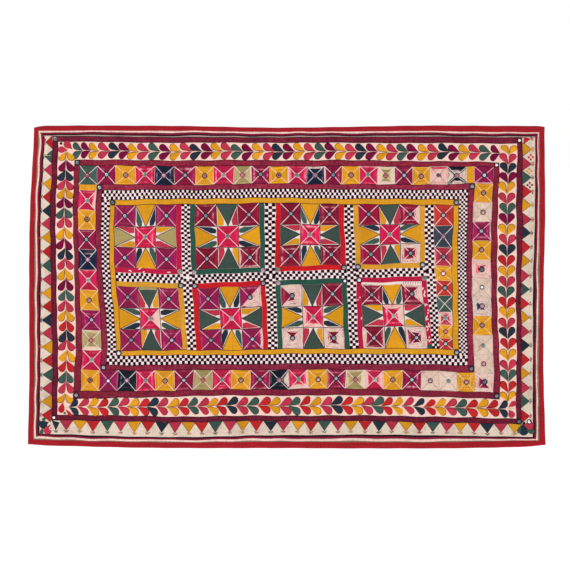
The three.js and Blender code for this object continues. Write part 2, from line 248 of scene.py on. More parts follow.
# a closed piece of cloth over an s by t field, with rolled rims; back and face are mm in front of the middle
def clothSlab(place, length, width, form):
    stopsS, stopsT = sideStops(length, form["step"]), sideStops(width, form.get("stepAcross", form["step"]))
    s, t = np.meshgrid(stopsS, stopsT, indexing="ij")
    x, z = place(s, t)
    edge = np.minimum(np.minimum(s, 1 - s) * length, np.minimum(t, 1 - t) * width)
    squeeze = min(1, length / rim["full"], width / rim["full"])
    rise = np.interp(edge, np.array(rim["stops"]) * squeeze, rim["rise"])
    puff = form.get("puff", 0) * (1 - (2 * t - 1) ** 4) * (1 - (2 * s - 1) ** 8)
    pitch, bend, bendPitch = crease["pucker"]
    pucker = np.sin(s * length / pitch + bend * np.sin(s * length / bendPitch) + crease["skew"] * t)
    pucker = form.get("pucker", 0) * np.exp(-edge / crease["reach"]) * pucker
    ripple = form.get("ripple", 0) * bentWave(x, z, *crease["rippleX"]) * bentWave(z, x, *crease["rippleZ"])
    lift = form["back"] + rise * (form["face"] - form["back"] + puff + pucker + ripple)
    points = onCloth(x, z, lift).reshape(-1, 3)
    n, m = s.shape
    index = np.arange(n * m).reshape(n, m)
    faces = np.stack([index[:-1, :-1], index[:-1, 1:], index[1:, 1:], index[1:, :-1]], -1)
    faces = faces.reshape(-1, 4).tolist()
    # corner squares are cut from the corner inward, so that face and back share no slanting edge
    for i, j, turned in ((0, 0, False), (0, m - 2, True), (n - 2, 0, True), (n - 2, m - 2, False)):
        a, b, c, d = faces[i * (m - 1) + j]
        faces[i * (m - 1) + j] = [b, c, d] if turned else [a, b, c]
        faces.append([b, d, a] if turned else [a, c, d])
    grain = np.stack([s * length, t * width, np.zeros_like(s)], -1)
    if form.get("wovenBack"):
        under = onCloth(x, z, form["back"] - crease["under"] * rise * np.abs(ripple))[1:-1, 1:-1]
        back = index.copy()
        back[1:-1, 1:-1] = n * m + np.arange((n - 2) * (m - 2)).reshape(n - 2, m - 2)
        points = np.concatenate([points, under.reshape(-1, 3)])
        rear = np.stack([back[:-1, :-1], back[1:, :-1], back[1:, 1:], back[:-1, 1:]], -1)
        faces += rear.reshape(-1, 4).tolist()
    elif n > longSlab:
        faces.append(index[0, ::-1].tolist() + [int(index[1, 0]), int(index[1, -1])])
        faces += [[int(index[i, 0]), int(index[i + 1, 0]), int(index[i + 1, -1]), int(index[i, -1])]
                  for i in range(1, n - 2)]
        faces.append([int(index[-2, 0])] + index[-1].tolist() + [int(index[-2, -1])])
    else:
        faces.append(index[0].tolist()[::-1] + index[1:, 0].tolist() + index[-1, 1:].tolist()
                     + index[-2:0:-1, -1].tolist())
    grain = np.concatenate([grain.reshape(-1, 3), grain[1:-1, 1:-1].reshape(-1, 3)])[:len(points)]
    return {"points": points, "faces": faces, "grain": grain}


# a slab over a whole strip
def stripSlab(strip, form):
    return clothSlab(lambda s, t: stripPlace(strip, s, t), *stripSize(strip), form)


# a slab's faces turned outward, by the sign of its volume
def facedOut(slab):
    points, faces = slab["points"] - slab["points"].mean(0), slab["faces"]
    cuts = np.array([(face[0], face[k], face[k + 1]) for face in faces for k in range(1, len(face) - 1)])
    a, b, c = points[cuts].transpose(1, 0, 2)
    return faces if np.sum(a * np.cross(b, c)) > 0 else [face[::-1] for face in faces]


# a number, vector or colour for each point of a mesh
def addLayer(mesh, layer, rows):
    rows = np.asarray(rows, np.float32)
    kind, key = {1: ("FLOAT", "value"), 3: ("FLOAT_VECTOR", "vector"),
                 4: ("FLOAT_COLOR", "color")}[1 if rows.ndim == 1 else rows.shape[1]]
    mesh.attributes.new(layer, kind, "POINT").data.foreach_set(key, rows.ravel())


# gathers slabs that become one piece
class Pile:
    def __init__(self):
        self.points, self.faces, self.kinds, self.count = [], [], [], 0
        self.layers = {"dye": [], "wear": [], "bars": [], "grain": []}

    def add(self, slab, dye="cream", wear=0.0, kind=0, shade=1.0, bars=0.0):
        number = len(slab["points"])
        self.points.append(slab["points"])
        self.faces += [[k + self.count for k in face] for face in facedOut(slab)]
        self.kinds += [kind] * len(slab["faces"])
        colour = np.array(linear(dye)) * np.append(np.ones(3) * shade, 1)
        own = [0, 0, dice.uniform(0, 90)]  # no two slabs are woven alike
        grain = slab.get("grain", np.zeros((number, 3))) + own
        for layer, rows in (("dye", np.tile(colour, (number, 1))), ("wear", np.zeros(number) + wear),
                            ("bars", np.zeros(number) + bars), ("grain", grain)):
            self.layers[layer].append(rows)
        self.count += number

    def make(self, name, materials):
        mesh = bpy.data.meshes.new(name)
        mesh.from_pydata(np.concatenate(self.points).tolist(), [], self.faces)
        for layer, rows in self.layers.items():
            addLayer(mesh, layer, np.concatenate(rows))
        for material in materials:
            mesh.materials.append(material)
        mesh.polygons.foreach_set("material_index", self.kinds)
        return showMesh(name, mesh)


# the angle of a sharp fold in degrees, and the share left free round the flat map
showing = {"fold": 50, "margin": 0.01}


# smooth cloth with sharp folds, and a flat map of the face for the exported picture
def showMesh(name, mesh):
    mesh.polygons.foreach_set("use_smooth", [True] * len(mesh.polygons))
    mesh.set_sharp_from_angle(angle=math.radians(showing["fold"]))
    flat = np.empty(len(mesh.vertices) * 3)
    mesh.vertices.foreach_get("co", flat)
    face = flat.reshape(-1, 3)[:, (0, 2)]
    face = (face - face.min(0)) / np.maximum(np.ptp(face, axis=0), 1e-6)
    corner = np.empty(len(mesh.loops), dtype=np.int32)
    mesh.loops.foreach_get("vertex_index", corner)
    spots = showing["margin"] + (1 - 2 * showing["margin"]) * face[corner]
    mesh.uv_layers.new(name="OFBake").data.foreach_set("uv", spots.ravel())
    piece = bpy.data.objects.new(name.replace(" ", "_"), mesh)
    bpy.context.scene.collection.objects.link(piece)
    return piece


def settle(piece, slot, *nodes):
    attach(piece, "root")
    if nodes:
        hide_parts(*nodes)


# a piece of one cloth from its slabs
def layCloth(name, slabs, cloth, slot, *nodes, **looks):
    pile = Pile()
    for slab in slabs:
        pile.add(slab, **looks)
    settle(pile.make(name, [cloth]), slot, *nodes)


def startMaterial(name):
    material = bpy.data.materials.new(name)
    material.use_nodes = True
    return material, material.node_tree, material.node_tree.nodes["Principled BSDF"]


# plain-woven handloom cotton: matt, a little uneven in dye, thick and thin threads
def cottonCloth(name, colour=None, fade=0.12, slub=0.14, stain=0.0, shot=None):
    material, tree, shader = startMaterial(name)
    place = put(tree, "TexCoord", out="Object")
    if colour:
        tint = put(tree, "ShaderNodeRGB")
        tint.default_value = linear(colour)
    else:
        tint = put(tree, "Attribute", attribute_name="dye", out="Color")
    patchy = put(tree, "TexNoise", {"Vector": place, "Scale": 1 / 0.07, "Detail": 5.0}, out="Fac")
    # slubs are 0.5 mm thick in the cloth; they are drawn 4 mm thick, so that they show at this distance
    level = put(tree, "Mapping", {"Vector": place, "Scale": (1 / 0.035, 1 / 0.035, 1 / 0.004)})
    upright = put(tree, "Mapping", {"Vector": place, "Scale": (1 / 0.004, 1 / 0.035, 1 / 0.035)})
    weft = put(tree, "TexNoise", {"Vector": level, "Scale": 1.0, "Detail": 2.0}, out="Fac")
    warp = put(tree, "TexNoise", {"Vector": upright, "Scale": 1.0, "Detail": 2.0}, out="Fac")
    threads = put(tree, "ADD", (weft, warp))
    threads = put(tree, "MapRange", (threads, 0.6, 1.4, 1 - slub, 1 + slub))
    faded = put(tree, "MapRange", (patchy, 0.3, 0.7, 1 - fade, 1 + fade))
    light = put(tree, "MULTIPLY", (threads, faded))
    if shot:
        # warp of another colour comes up in flecks some 7 mm across
        fleck = put(tree, "Mapping", {"Vector": place, "Scale": (1 / 0.007, 1 / 0.007, 1 / 0.007)})
        fleck = put(tree, "TexNoise", {"Vector": fleck, "Scale": 1.0, "Detail": 4.0}, out="Fac")
        fleck = put(tree, "MapRange", (fleck, 0.45, 0.68, 0.0, 0.75))
        tint = put(tree, "Mix", {"Factor": fleck, 6: tint, 7: linear(shot)}, data_type="RGBA", out=2)
    tint = put(tree, "HueSaturation", {"Color": tint, "Value": light})
    if stain:
        # old tea-brown marks, a few cm across
        spots = put(tree, "TexNoise", {"Vector": place, "Scale": 1 / 0.045, "Detail": 6.0}, out="Fac")
        mark = put(tree, "MapRange", (spots, 0.52, 0.78, 0.0, stain))
        tint = put(tree, "Mix", {"Factor": mark, 6: tint, 7: linear("teaStain")}, data_type="RGBA", out=2)
    tree.links.new(tint, shader.inputs["Base Color"])
    # the weave is 0.6 mm in the cloth and 1.6 mm here, so that a close view shows it
    pitch = math.pi / 10 / 0.0016
    ways = [put(tree, "TexWave", {"Vector": place, "Scale": pitch}, bands_direction=way, out="Fac")
            for way in ("Z", "X")]
    weave = put(tree, "MULTIPLY", ways)
    height = put(tree, "ADD", (threads, weave))
    bump = put(tree, "Bump", {"Height": height, "Strength": 0.35, "Distance": 0.0006})
    tree.links.new(bump, shader.inputs["Normal"])
    shader.inputs["Roughness"].default_value = 0.9
    shader.inputs["Specular IOR Level"].default_value = 0.06
    shader.inputs["Sheen Weight"].default_value = 0.02
    return material


# satin-faced silk: soft lustre with painted sheen streaks, pale bars along the folds that are partly worn
# silk and partly painted highlight, worn away from the seams to the pale lining
def wornSilk(name):
    material, tree, shader = startMaterial(name)
    grain = put(tree, "Attribute", attribute_name="grain", out="Vector")  # mm along and in from the seam
    tint = put(tree, "Attribute", attribute_name="dye", out="Color")
    wear = put(tree, "Attribute", attribute_name="wear", out="Fac")  # mm of silk gone from the seam
    bars = put(tree, "Attribute", attribute_name="bars", out="Fac")  # how strong its worn fold and the fold's painted highlight are
    depth, number = put(tree, "SeparateXYZ", (grain,), out=None)[1:3]
    # streaks are 60 mm long and 2.4 mm wide, frayed ends 7 by 3 mm
    drawn = put(tree, "Mapping", {"Vector": grain, "Scale": (1 / 60, 1 / 2.4, 1.0)})
    fine = put(tree, "Mapping", {"Vector": grain, "Scale": (1 / 7, 1 / 3, 1.0)})
    streak = put(tree, "TexNoise", {"Vector": drawn, "Scale": 1.0, "Detail": 2.0}, out="Fac")
    fray = put(tree, "TexNoise", {"Vector": fine, "Scale": 1.0, "Detail": 3.0}, out="Fac")
    rough = put(tree, "MULTIPLY_ADD", (fray, 7.0, -16.5))
    rough = put(tree, "MULTIPLY_ADD", (streak, 24.0, rough))
    gone = put(tree, "SUBTRACT", (wear, depth))
    gone = put(tree, "ADD", (gone, rough))
    bare = put(tree, "MapRange", (gone, -0.6, 0.8))
    # some floats of silk are left on the lining
    left = put(tree, "MULTIPLY_ADD", (fray, 0.8, streak))
    left = put(tree, "MapRange", (left, 0.7, 0.84, 0.15))
    bare = put(tree, "MULTIPLY", (bare, left))
    # one worn fold for each triangle, at a depth and width of its own: a painted sheen of lighter floats of
    # the same silk beside a pale core that is partly worn lining and partly painted highlight
    own = put(tree, "TexWhiteNoise", {"W": number}, noise_dimensions="1D", out="Color")
    own = put(tree, "SeparateColor", (own,), out=None)
    fold = put(tree, "MapRange", (own[0], 0, 1, 3.0, 15.0))
    half = put(tree, "MapRange", (own[1], 0, 1, 1.3, 3.8))
    away = put(tree, "SUBTRACT", (depth, fold))
    away = put(tree, "MULTIPLY_ADD", (fray, 4.0, away))
    away = put(tree, "SUBTRACT", (away, 2.0))
    away = put(tree, "ABSOLUTE", (away,))
    bar = put(tree, "SUBTRACT", (half, away))
    # a fold catches the light in lengths of some 20 mm, where its painted highlight shows
    catch = put(tree, "Mapping", {"Vector": grain, "Scale": (1 / 20, 1 / 40, 1.0)})
    catch = put(tree, "TexNoise", {"Vector": catch, "Scale": 1.0, "Detail": 2.0}, out="Fac")
    catch = put(tree, "MapRange", (catch, 0.36, 0.62, 0.1))
    bars = put(tree, "MULTIPLY", (bars, catch))
    core = put(tree, "MapRange", (bar, 0.0, 1.4))
    strong = put(tree, "POWER", (bars, 1.8))
    core = put(tree, "MULTIPLY", (core, strong))
    halo = put(tree, "MapRange", (bar, -2.6, 0.4))
    # thin pale streaks of painted sheen along the grain
    line = put(tree, "MapRange", (streak, 0.58, 0.7))
    halo = put(tree, "MAXIMUM", (halo, line))
    halo = put(tree, "MULTIPLY", (halo, bars))
    # the same painted sheen shows along the frayed edge of a worn place
    frayed = put(tree, "MapRange", (gone, -4.0, 0.0, 0, 0.7))
    halo = put(tree, "MAXIMUM", (halo, frayed))
    # painted sheen: the dye lighter and darker in streaks along the grain
    shine = put(tree, "MapRange", (streak, 0.3, 0.7, 0.7, 1.32))
    lining = put(tree, "Mix", {"Factor": 0.05, 6: linear("lining"), 7: tint}, data_type="RGBA", out=2)
    # handling has greyed the lining in patches some 25 mm across
    spot = put(tree, "TexCoord", out="Object")
    grime = put(tree, "TexNoise", {"Vector": spot, "Scale": 1 / 0.025, "Detail": 5.0}, out="Fac")
    grime = put(tree, "MapRange", (grime, 0.4, 0.75, 0, 0.25))
    lining = put(tree, "Mix", {"Factor": grime, 6: lining, 7: linear("teaStain")}, data_type="RGBA", out=2)
    floats = put(tree, "HueSaturation", {"Color": tint, "Saturation": 0.96, "Value": 2.4})
    tint = put(tree, "HueSaturation", {"Color": tint, "Value": shine})
    tint = put(tree, "Mix", {"Factor": halo, 6: tint, 7: floats}, data_type="RGBA", out=2)
    # the core is mixed toward a pale pink that is both frayed silk and painted highlight
    tint = put(tree, "Mix", {"Factor": core, 6: tint, 7: linear("frayAndHighlight")}, data_type="RGBA", out=2)
    tint = put(tree, "Mix", {"Factor": bare, 6: tint, 7: lining}, data_type="RGBA", out=2)
    tree.links.new(tint, shader.inputs["Base Color"])
    gloss = put(tree, "MapRange", (bare, 0, 1, 0.5, 0.92))
    tree.links.new(gloss, shader.inputs["Roughness"])
    bump = put(tree, "Bump", {"Height": streak, "Strength": 0.3, "Distance": 0.001})
    tree.links.new(bump, shader.inputs["Normal"])
    shader.inputs["Specular IOR Level"].default_value = 0.12
    return material


# hand-cut silvered glass: dull mirror with a grey-green cast and blotches in the silver; it is only partly
# metallic, and its colour is partly painted reflection
def silveredGlass(name):
    material, tree, shader = startMaterial(name)
    place = put(tree, "TexCoord", out="Object")
    cast = put(tree, "Attribute", attribute_name="dye", out="Color")
    blotch = put(tree, "TexNoise", {"Vector": place, "Scale": 1 / 0.006, "Detail": 3.0}, out="Fac")
    dull = put(tree, "MapRange", (blotch, 0.3, 0.7, 0.75, 1.15))
    tint = put(tree, "HueSaturation", {"Color": cast, "Value": dull})
    tree.links.new(tint, shader.inputs["Base Color"])
    shader.inputs["Metallic"].default_value = 0.6
    shader.inputs["Roughness"].default_value = 0.22
    return material


# twisted cotton sewing thread: matt, dyed by the piece it sews
def sewingThread(name):
    material, tree, shader = startMaterial(name)
    place = put(tree, "TexCoord", out="Object")
    tint = put(tree, "Attribute", attribute_name="dye", out="Color")
    ply = put(tree, "TexNoise", {"Vector": place, "Scale": 1 / 0.004, "Detail": 2.0}, out="Fac")
    light = put(tree, "MapRange", (ply, 0.3, 0.7, 0.8, 1.2))
    tint = put(tree, "HueSaturation", {"Color": tint, "Value": light})
    tree.links.new(tint, shader.inputs["Base Color"])
    shader.inputs["Roughness"].default_value = 0.8
    shader.inputs["Specular IOR Level"].default_value = 0.15
    return material


dyedCotton = cottonCloth("dyed cotton patches", fade=0.08, slub=0.12)
creamCotton = cottonCloth("soiled cream cotton", fade=0.1, slub=0.2, stain=0.3)
silk = wornSilk("worn satin silk")
glass = silveredGlass("silvered glass")
thread = sewingThread("cotton sewing thread")
print("materials ready")


# a tree of geometry nodes with named inputs
def startTree(name, **inputs):
    tree = bpy.data.node_groups.new(name, "GeometryNodeTree")
    tree.interface.new_socket(name="Geometry", in_out="OUTPUT", socket_type="NodeSocketGeometry")
    tree.interface.new_socket(name="Geometry", in_out="INPUT", socket_type="NodeSocketGeometry")
    for key, kind in inputs.items():
        tree.interface.new_socket(name=key, in_out="INPUT", socket_type="NodeSocket" + kind)
    return tree, put(tree, "NodeGroupInput", out=None)


def endTree(tree, geometry, material):
    whole = put(tree, "GeometryNodeRealizeInstances", {"Geometry": geometry})
    dressed = put(tree, "GeometryNodeSetMaterial", {"Geometry": whole, "Material": material})
    put(tree, "NodeGroupOutput", {"Geometry": dressed}, out=None)


# runs a tree on points or lines and keeps the result as a plain mesh
def growPiece(name, tree, seeds, **sizes):
    mesh = bpy.data.meshes.new(name)
    mesh.from_pydata(np.asarray(seeds.places).tolist(), seeds.edges, [])
    for layer, rows in seeds.layers.items():
        addLayer(mesh, layer, rows)
    carrier = bpy.data.objects.new(name + " points", mesh)
    modifier = carrier.modifiers.new(name, "NODES")
    modifier.node_group = tree
    sockets = {item.name: item.identifier for item in tree.interface.items_tree if item.in_out == "INPUT"}
    for key, value in sizes.items():
        modifier[sockets[key]] = value
    bpy.context.scene.collection.objects.link(carrier)
    graph = bpy.context.evaluated_depsgraph_get()
    grown = bpy.data.meshes.new_from_object(carrier.evaluated_get(graph))
    grown.name = name
    bpy.data.objects.remove(carrier)
    return showMesh(name, grown)


# points for a tree: place, turn, size and dye of each
class Points:
    def __init__(self):
        self.places, self.edges = [], []
        self.layers = {"turn": [], "size": [], "dye": [], "side": []}

    def add(self, x, z, lift, across, up, size, dye, shade=1.0, side=0.0):
        self.places.append(onCloth(x, z, lift))
        self.layers["turn"].append(turnOnCloth(float(x), float(z), across, up))
        self.layers["size"].append([value * mm for value in size])
        self.layers["dye"].append([c * shade for c in linear(dye)[:3]] + [1])
        self.layers["side"].append(side)


# instances a shape on points with their own turn and size
def onPoints(tree, points, shape, **more):
    turn = put(tree, "GeometryNodeInputNamedAttribute", {"Name": "turn"}, data_type="FLOAT_VECTOR")
    size = put(tree, "GeometryNodeInputNamedAttribute", {"Name": "size"}, data_type="FLOAT_VECTOR")
    turned = put(tree, "FunctionNodeEulerToRotation", (turn,))
    inputs = {"Points": points, "Instance": shape, "Rotation": turned, "Scale": size}
    inputs.update(more)
    return put(tree, "GeometryNodeInstanceOnPoints", inputs)


# where a leaf is widest, how it tapers to its tip, how its inner edge stands off the stem, how its rim turns,
# and the least half width of the ball that it is drawn from
leafForm = {"widest": 0.68, "taper": 1.9, "tipGap": 0.1, "spread": 0.7, "edgeTurn": 0.4, "least": 0.05}


# a teardrop leaf with its tip at the origin: straight, or with its inner edge along the stem on either side
def leafTree():
    tree, given = startTree("leafPatch", Gap="Float", Thickness="Float", Cloth="Material")
    kinds = []
    for side in (1, 0, -1):  # joined in turn from the last, so an instance index of 1 is the straight leaf
        ball = put(tree, "GeometryNodeMeshUVSphere", (24, 4, 1.0))
        spot = put(tree, "GeometryNodeInputPosition")
        x, y, z = put(tree, "SeparateXYZ", (spot,), out=None)
        down = put(tree, "MapRange", (x, 1.0, -1.0))
        tail = put(tree, "MapRange", (down, 0, leafForm["widest"], 0, math.pi / 2))
        tail = put(tree, "SINE", (tail,))
        tail = put(tree, "POWER", (tail, leafForm["taper"]))
        end = put(tree, "MapRange", (down, leafForm["widest"], 1.0))
        end = put(tree, "MULTIPLY", (end, end))
        end = put(tree, "SUBTRACT", (1.0, end))
        end = put(tree, "SQRT", (end,))
        wave = put(tree, "MULTIPLY", (tail, end))
        square = put(tree, "MULTIPLY", (x, x))
        disc = put(tree, "SUBTRACT", (1.0, square))
        disc = put(tree, "SQRT", (disc,))
        disc = put(tree, "MAXIMUM", (disc, leafForm["least"]))
        swell = put(tree, "DIVIDE", (wave, disc))
        wide = put(tree, "MULTIPLY", (y, swell))
        stand = put(tree, "ADD", (down, leafForm["tipGap"]))
        stand = put(tree, "POWER", (stand, leafForm["spread"]))
        lift = put(tree, "MULTIPLY_ADD", (stand, given["Gap"], tail))
        across = put(tree, "MULTIPLY_ADD", (lift, float(side), wide))
        along = put(tree, "MULTIPLY", (down, -1.0))
        sign = put(tree, "SIGN", (z,))
        thick = put(tree, "ABSOLUTE", (z,))
        thick = put(tree, "POWER", (thick, leafForm["edgeTurn"]))
        thick = put(tree, "MULTIPLY", (thick, sign))
        thick = put(tree, "MULTIPLY", (thick, given["Thickness"]))
        spot = put(tree, "CombineXYZ", (along, across, thick))
        leaf = put(tree, "GeometryNodeSetPosition", {"Geometry": ball, "Position": spot})
        kinds.append(put(tree, "GeometryNodeGeometryToInstance", (leaf,)))
    every = put(tree, "GeometryNodeJoinGeometry", (kinds,))
    kind = put(tree, "GeometryNodeInputNamedAttribute", {"Name": "side"}, data_type="FLOAT")
    pick = {"Pick Instance": True, "Instance Index": kind}
    endTree(tree, onPoints(tree, given["Geometry"], every, **pick), given["Cloth"])
    return tree


# a small cushioned square of cloth
def checkTree():
    tree, given = startTree("checkPatch", Draw="Float", Thickness="Float", Cloth="Material")
    cube = put(tree, "GeometryNodeMeshCube", ((1, 1, 1), 3, 3, 2))  # size, then points along each edge
    spot = put(tree, "GeometryNodeInputPosition")
    x, y, z = put(tree, "SeparateXYZ", (spot,), out=None)
    up = put(tree, "ADD", (z, 0.5))
    draw = put(tree, "MULTIPLY", (up, given["Draw"]))
    draw = put(tree, "SUBTRACT", (1.0, draw))
    away = put(tree, "VectorMath", (spot, spot), operation="DOT_PRODUCT", out="Value")
    crown = put(tree, "SUBTRACT", (1.3, away))
    rise = put(tree, "MULTIPLY", (up, crown))
    rise = put(tree, "MULTIPLY", (rise, given["Thickness"]))
    x = put(tree, "MULTIPLY", (x, draw))
    y = put(tree, "MULTIPLY", (y, draw))
    spot = put(tree, "CombineXYZ", (x, y, rise))
    patch = put(tree, "GeometryNodeSetPosition", {"Geometry": cube, "Position": spot})
    endTree(tree, onPoints(tree, given["Geometry"], patch), given["Cloth"])
    return tree


# a flat lens of glass, a spot or one short stitch, depending on the size of each point
def seedTree():
    tree, given = startTree("roundSeed", Segments="Int", Rings="Int", Material="Material")
    ball = put(tree, "GeometryNodeMeshUVSphere", (given["Segments"], given["Rings"], 1.0))
    endTree(tree, onPoints(tree, given["Geometry"], ball), given["Material"])
    return tree


# buttonhole stitches round a mirror, in shares of the mirror's radius
def ringTree():
    tree, given = startTree("stitchedRing", Stitches="Int", Reach="Float", Width="Float", Slant="Float",
                            Thread="Material")
    ring = put(tree, "GeometryNodeMeshCircle", (given["Stitches"], 1.36))  # they lie this far out
    ball = put(tree, "GeometryNodeMeshUVSphere", (5, 3, 1.0))
    form = put(tree, "CombineXYZ", (given["Reach"], given["Width"], given["Width"]))
    stitch = put(tree, "GeometryNodeTransform", {"Geometry": ball, "Scale": form})
    number = put(tree, "GeometryNodeInputIndex")
    step = put(tree, "DIVIDE", (2 * math.pi, given["Stitches"]))
    angle = put(tree, "MULTIPLY_ADD", (number, step, given["Slant"]))
    turn = put(tree, "CombineXYZ", {2: angle})
    turn = put(tree, "FunctionNodeEulerToRotation", (turn,))
    wreath = put(tree, "GeometryNodeInstanceOnPoints", {"Points": ring, "Instance": stitch, "Rotation": turn})
    endTree(tree, onPoints(tree, given["Geometry"], wreath), given["Thread"])
    return tree


# a laid thread along lines
def threadTree():
    tree, given = startTree("laidThread", Radius="Float", Sides="Int", Thread="Material")
    line = put(tree, "GeometryNodeMeshToCurve", {"Mesh": given["Geometry"]})
    inputs = {"Resolution": given["Sides"], "Radius": given["Radius"]}
    section = put(tree, "GeometryNodeCurvePrimitiveCircle", inputs)
    cord = put(tree, "GeometryNodeCurveToMesh", {"Curve": line, "Profile Curve": section, "Fill Caps": True})
    endTree(tree, cord, given["Thread"])
    return tree


# lines on the cloth, kept together with the dye of each
class Lines:
    def __init__(self):
        self.places, self.edges, self.layers = [], [], {"dye": []}

    def add(self, x, z, lift, dye):
        start = len(self.places)
        row = onCloth(x, z, lift)
        self.places += row.tolist()
        self.edges += [[start + k, start + k + 1] for k in range(len(row) - 1)]
        self.layers["dye"] += [linear(dye)] * len(row)

    # along a strip at share t
    def addAlong(self, strip, t, lift, dye, step=18, ends=(0, 1)):
        length = stripSize(strip)[0] * (ends[1] - ends[0])
        s = np.linspace(ends[0], ends[1], max(2, int(length / step)))
        x, z = stripPlace(strip, s, np.full_like(s, t))
        self.add(x, z, lift, dye)


leafShape, checkShape, seedShape = leafTree(), checkTree(), seedTree()
ringShape, threadShape = ringTree(), threadTree()
print("node trees ready")

# strips of cloth, each laid over its solid
strips = {name: stripSeams(name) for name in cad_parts
          if name.rsplit("_", 1)[-1] in sides or name == "square_column"}
seamThreadAndShade, stems, crossStitches = Lines(), Lines(), Points()
# how far in front of the cloth's middle threads and stitches lie, mm
lifts = {"seam": 1.7, "toe": 2.2, "patchSeam": 2.2, "scrap": 2.2, "tooth": 2.25, "stem": 2.3, "petal": 2.35,
         "fleck": 2.45, "tack": 3.0}

# corners where the bound edge is drawn in: the outer seam, then which end, how far up and over what length,
# in mm
cornerPulls = {"binding_top": ("first", ((0, -6.5, 45), (1, -4, 30))),
               "binding_bottom": ("second", ((0, 5, 75), (1, 7, 110)))}
pullForm = {"stops": 9, "taper": 1.5}
for name, (edge, pulls) in cornerPulls.items():
    strip = strips[name]
    length = stripSize(strip)[0]
    shares = (strip["first"][:, 0] - strip["first"][0, 0]) / length
    for end, depth, reach in pulls:
        shares = np.union1d(shares, np.abs(end - np.linspace(0, reach / length, pullForm["stops"])))
    for row in ("first", "second"):
        rail = strip[row]
        x = rail[0, 0] + (rail[-1, 0] - rail[0, 0]) * shares
        strip[row] = np.stack([x, np.interp(x, rail[:, 0], rail[:, 1])], 1)
    for end, depth, reach in pulls:
        near = np.clip(1 - np.abs(shares - end) * length / reach, 0, 1)
        strip[edge][:, 1] += depth * near ** pullForm["taper"]

# dye, slot, fading, slubs, stain and the colour that shows through
plainStrips = {
    "outer_band": ("outerMaroon", "maroon_cotton", 0.18, 0.44, 0.0, "shotPurple"),
    "middle_band": ("middleMaroon", "maroon_cotton", 0.18, 0.46, 0.0, "shotPlum"),
    "inner_band": ("innerMaroon", "maroon_cotton", 0.18, 0.46, 0.0, "shotPlum"),
    "mustard_frame": ("mustard", "mustard_cotton", 0.1, 0.16, 0.0, None),
    "leaf_border": ("leafGround", "border_cotton", 0.06, 0.09, 0.18, None),
    "triangle_border": ("sawGround", "border_cotton", 0.09, 0.14, 0.5, None),
    "check_border": ("checkWhite", "check_cotton", 0.04, 0.05, 0.1, None),
    "square_border": ("cream", "patch_silk", 0.06, 0.08, 0.3, None),
}
stripForm = {"back": 0.92, "face": 1.95, "step": 7, "stepAcross": 6, "puff": 0.25, "pucker": 0.3,
             "ripple": 0.16}
checkForm = {"back": 0.92, "face": 1.9, "step": 7, "stepAcross": 6, "puff": 0.08, "pucker": 0.05,
             "ripple": 0.05}
paintedSideLight = {"top": 1.14, "bottom": 0.92, "left": 0.92, "right": 0.96}  # painted light and shade: the maroon bands lighter at the top and darker at the sides and bottom, as light falls from above
for family, (dye, slot, fade, slub, stain, shot) in plainStrips.items():
    cloth = cottonCloth(family.replace("_", " ") + " cotton", None, fade, slub, stain, shot)
    form = checkForm if family == "check_border" else stripForm
    for side, shade in paintedSideLight.items():
        name = f"{family}_{side}"
        if name in strips:
            layCloth(name + " cloth", [stripSlab(strips[name], form)], cloth, slot, name, dye=dye,
                     shade=shade if family.endswith("band") else 1)
print("plain strips laid")

# narrow stripes side by side, outermost first, turned at the corners and a little uneven
piping = {
    "top": (("creamPiping", 0.27), ("oxblood", 0.33), ("inkBlue", 0.2), ("greyPiping", 0.2)),
    "bottom": (("olivePiping", 0.12), ("creamPiping", 0.36), ("oxblood", 0.32), ("inkBlue", 0.2)),
    "left": (("olivePiping", 0.14), ("creamPiping", 0.3), ("oxblood", 0.34), ("inkBlue", 0.22)),
    "right": (("olivePiping", 0.2), ("creamPiping", 0.24), ("oxblood", 0.32), ("inkBlue", 0.24)),
    "form": {"back": 0.92, "face": 1.7, "step": 9, "stepAcross": 4, "puff": 0.5, "pucker": 0.1,
             "ripple": 0.1},
    "stitch": (2.2, 0.9, 0.6), "stitchPitch": 7.5, "stitchLift": 2.3, "straight": 0.02,
    "uneven": 0.04, "bend": (23, 2, 140), "slow": 0.05, "slowPitch": 61,
}
pipingCloth = {dye: cottonCloth("piping cotton " + dye, dye, fade=0.14, slub=0.24)
               for dye in ("olivePiping", "creamPiping", "oxblood", "inkBlue", "greyPiping")}
pipingWidth = {side: stripSize(strips["piping_" + side])[1] for side in sides}


def uneven(place):
    return (piping["slow"] * np.sin(place / piping["slowPitch"] + 1)
            + piping["uneven"] * bentWave(place, place, *piping["bend"]))


def stripePlace(strip, side, low, high, s, t):
    length, width = stripSize(strip)
    if side in ("top", "bottom"):
        start, end = low * pipingWidth["left"] / length, 1 - low * pipingWidth["right"] / length
    else:
        start, end = -(1 - low) * pipingWidth["top"] / length, 1 + (1 - low) * pipingWidth["bottom"] / length
    s = start + (end - start) * s
    share = low + (high - low) * t
    inside = (share > piping["straight"]) & (share < 1 - piping["straight"])
    share = share + np.where(inside, uneven(s * length), 0)
    return stripPlace(strip, s, share if side in ("top", "left") else 1 - share)


for side, width in pipingWidth.items():
    strip, pile, start = strips["piping_" + side], Pile(), 0.0
    for number, (dye, share) in enumerate(piping[side]):
        slab = clothSlab(lambda s, t: stripePlace(strip, side, start, start + share, s, t),
                         stripSize(strip)[0], width * share, piping["form"])
        pile.add(slab, kind=number)
        start += share
    settle(pile.make(f"piping stripes {side}", [pipingCloth[dye] for dye, share in piping[side]]),
           "piping_cotton", "piping_" + side)
    # running stitches along the dark red stripe
    dark = [dye for dye, share in piping[side]].index("oxblood")
    low = sum(share for dye, share in piping[side][:dark])
    count = int(stripSize(strip)[0] / piping["stitchPitch"])
    for s in (np.arange(count) + 0.5) / count:
        x, z = stripePlace(strip, side, low, low + piping[side][dark][1], s, 0.5)
        ahead = (1, 0) if side in ("top", "bottom") else (0, 1)
        crossStitches.add(x, z, piping["stitchLift"], *ahead, piping["stitch"], "rose")
print("piping laid")

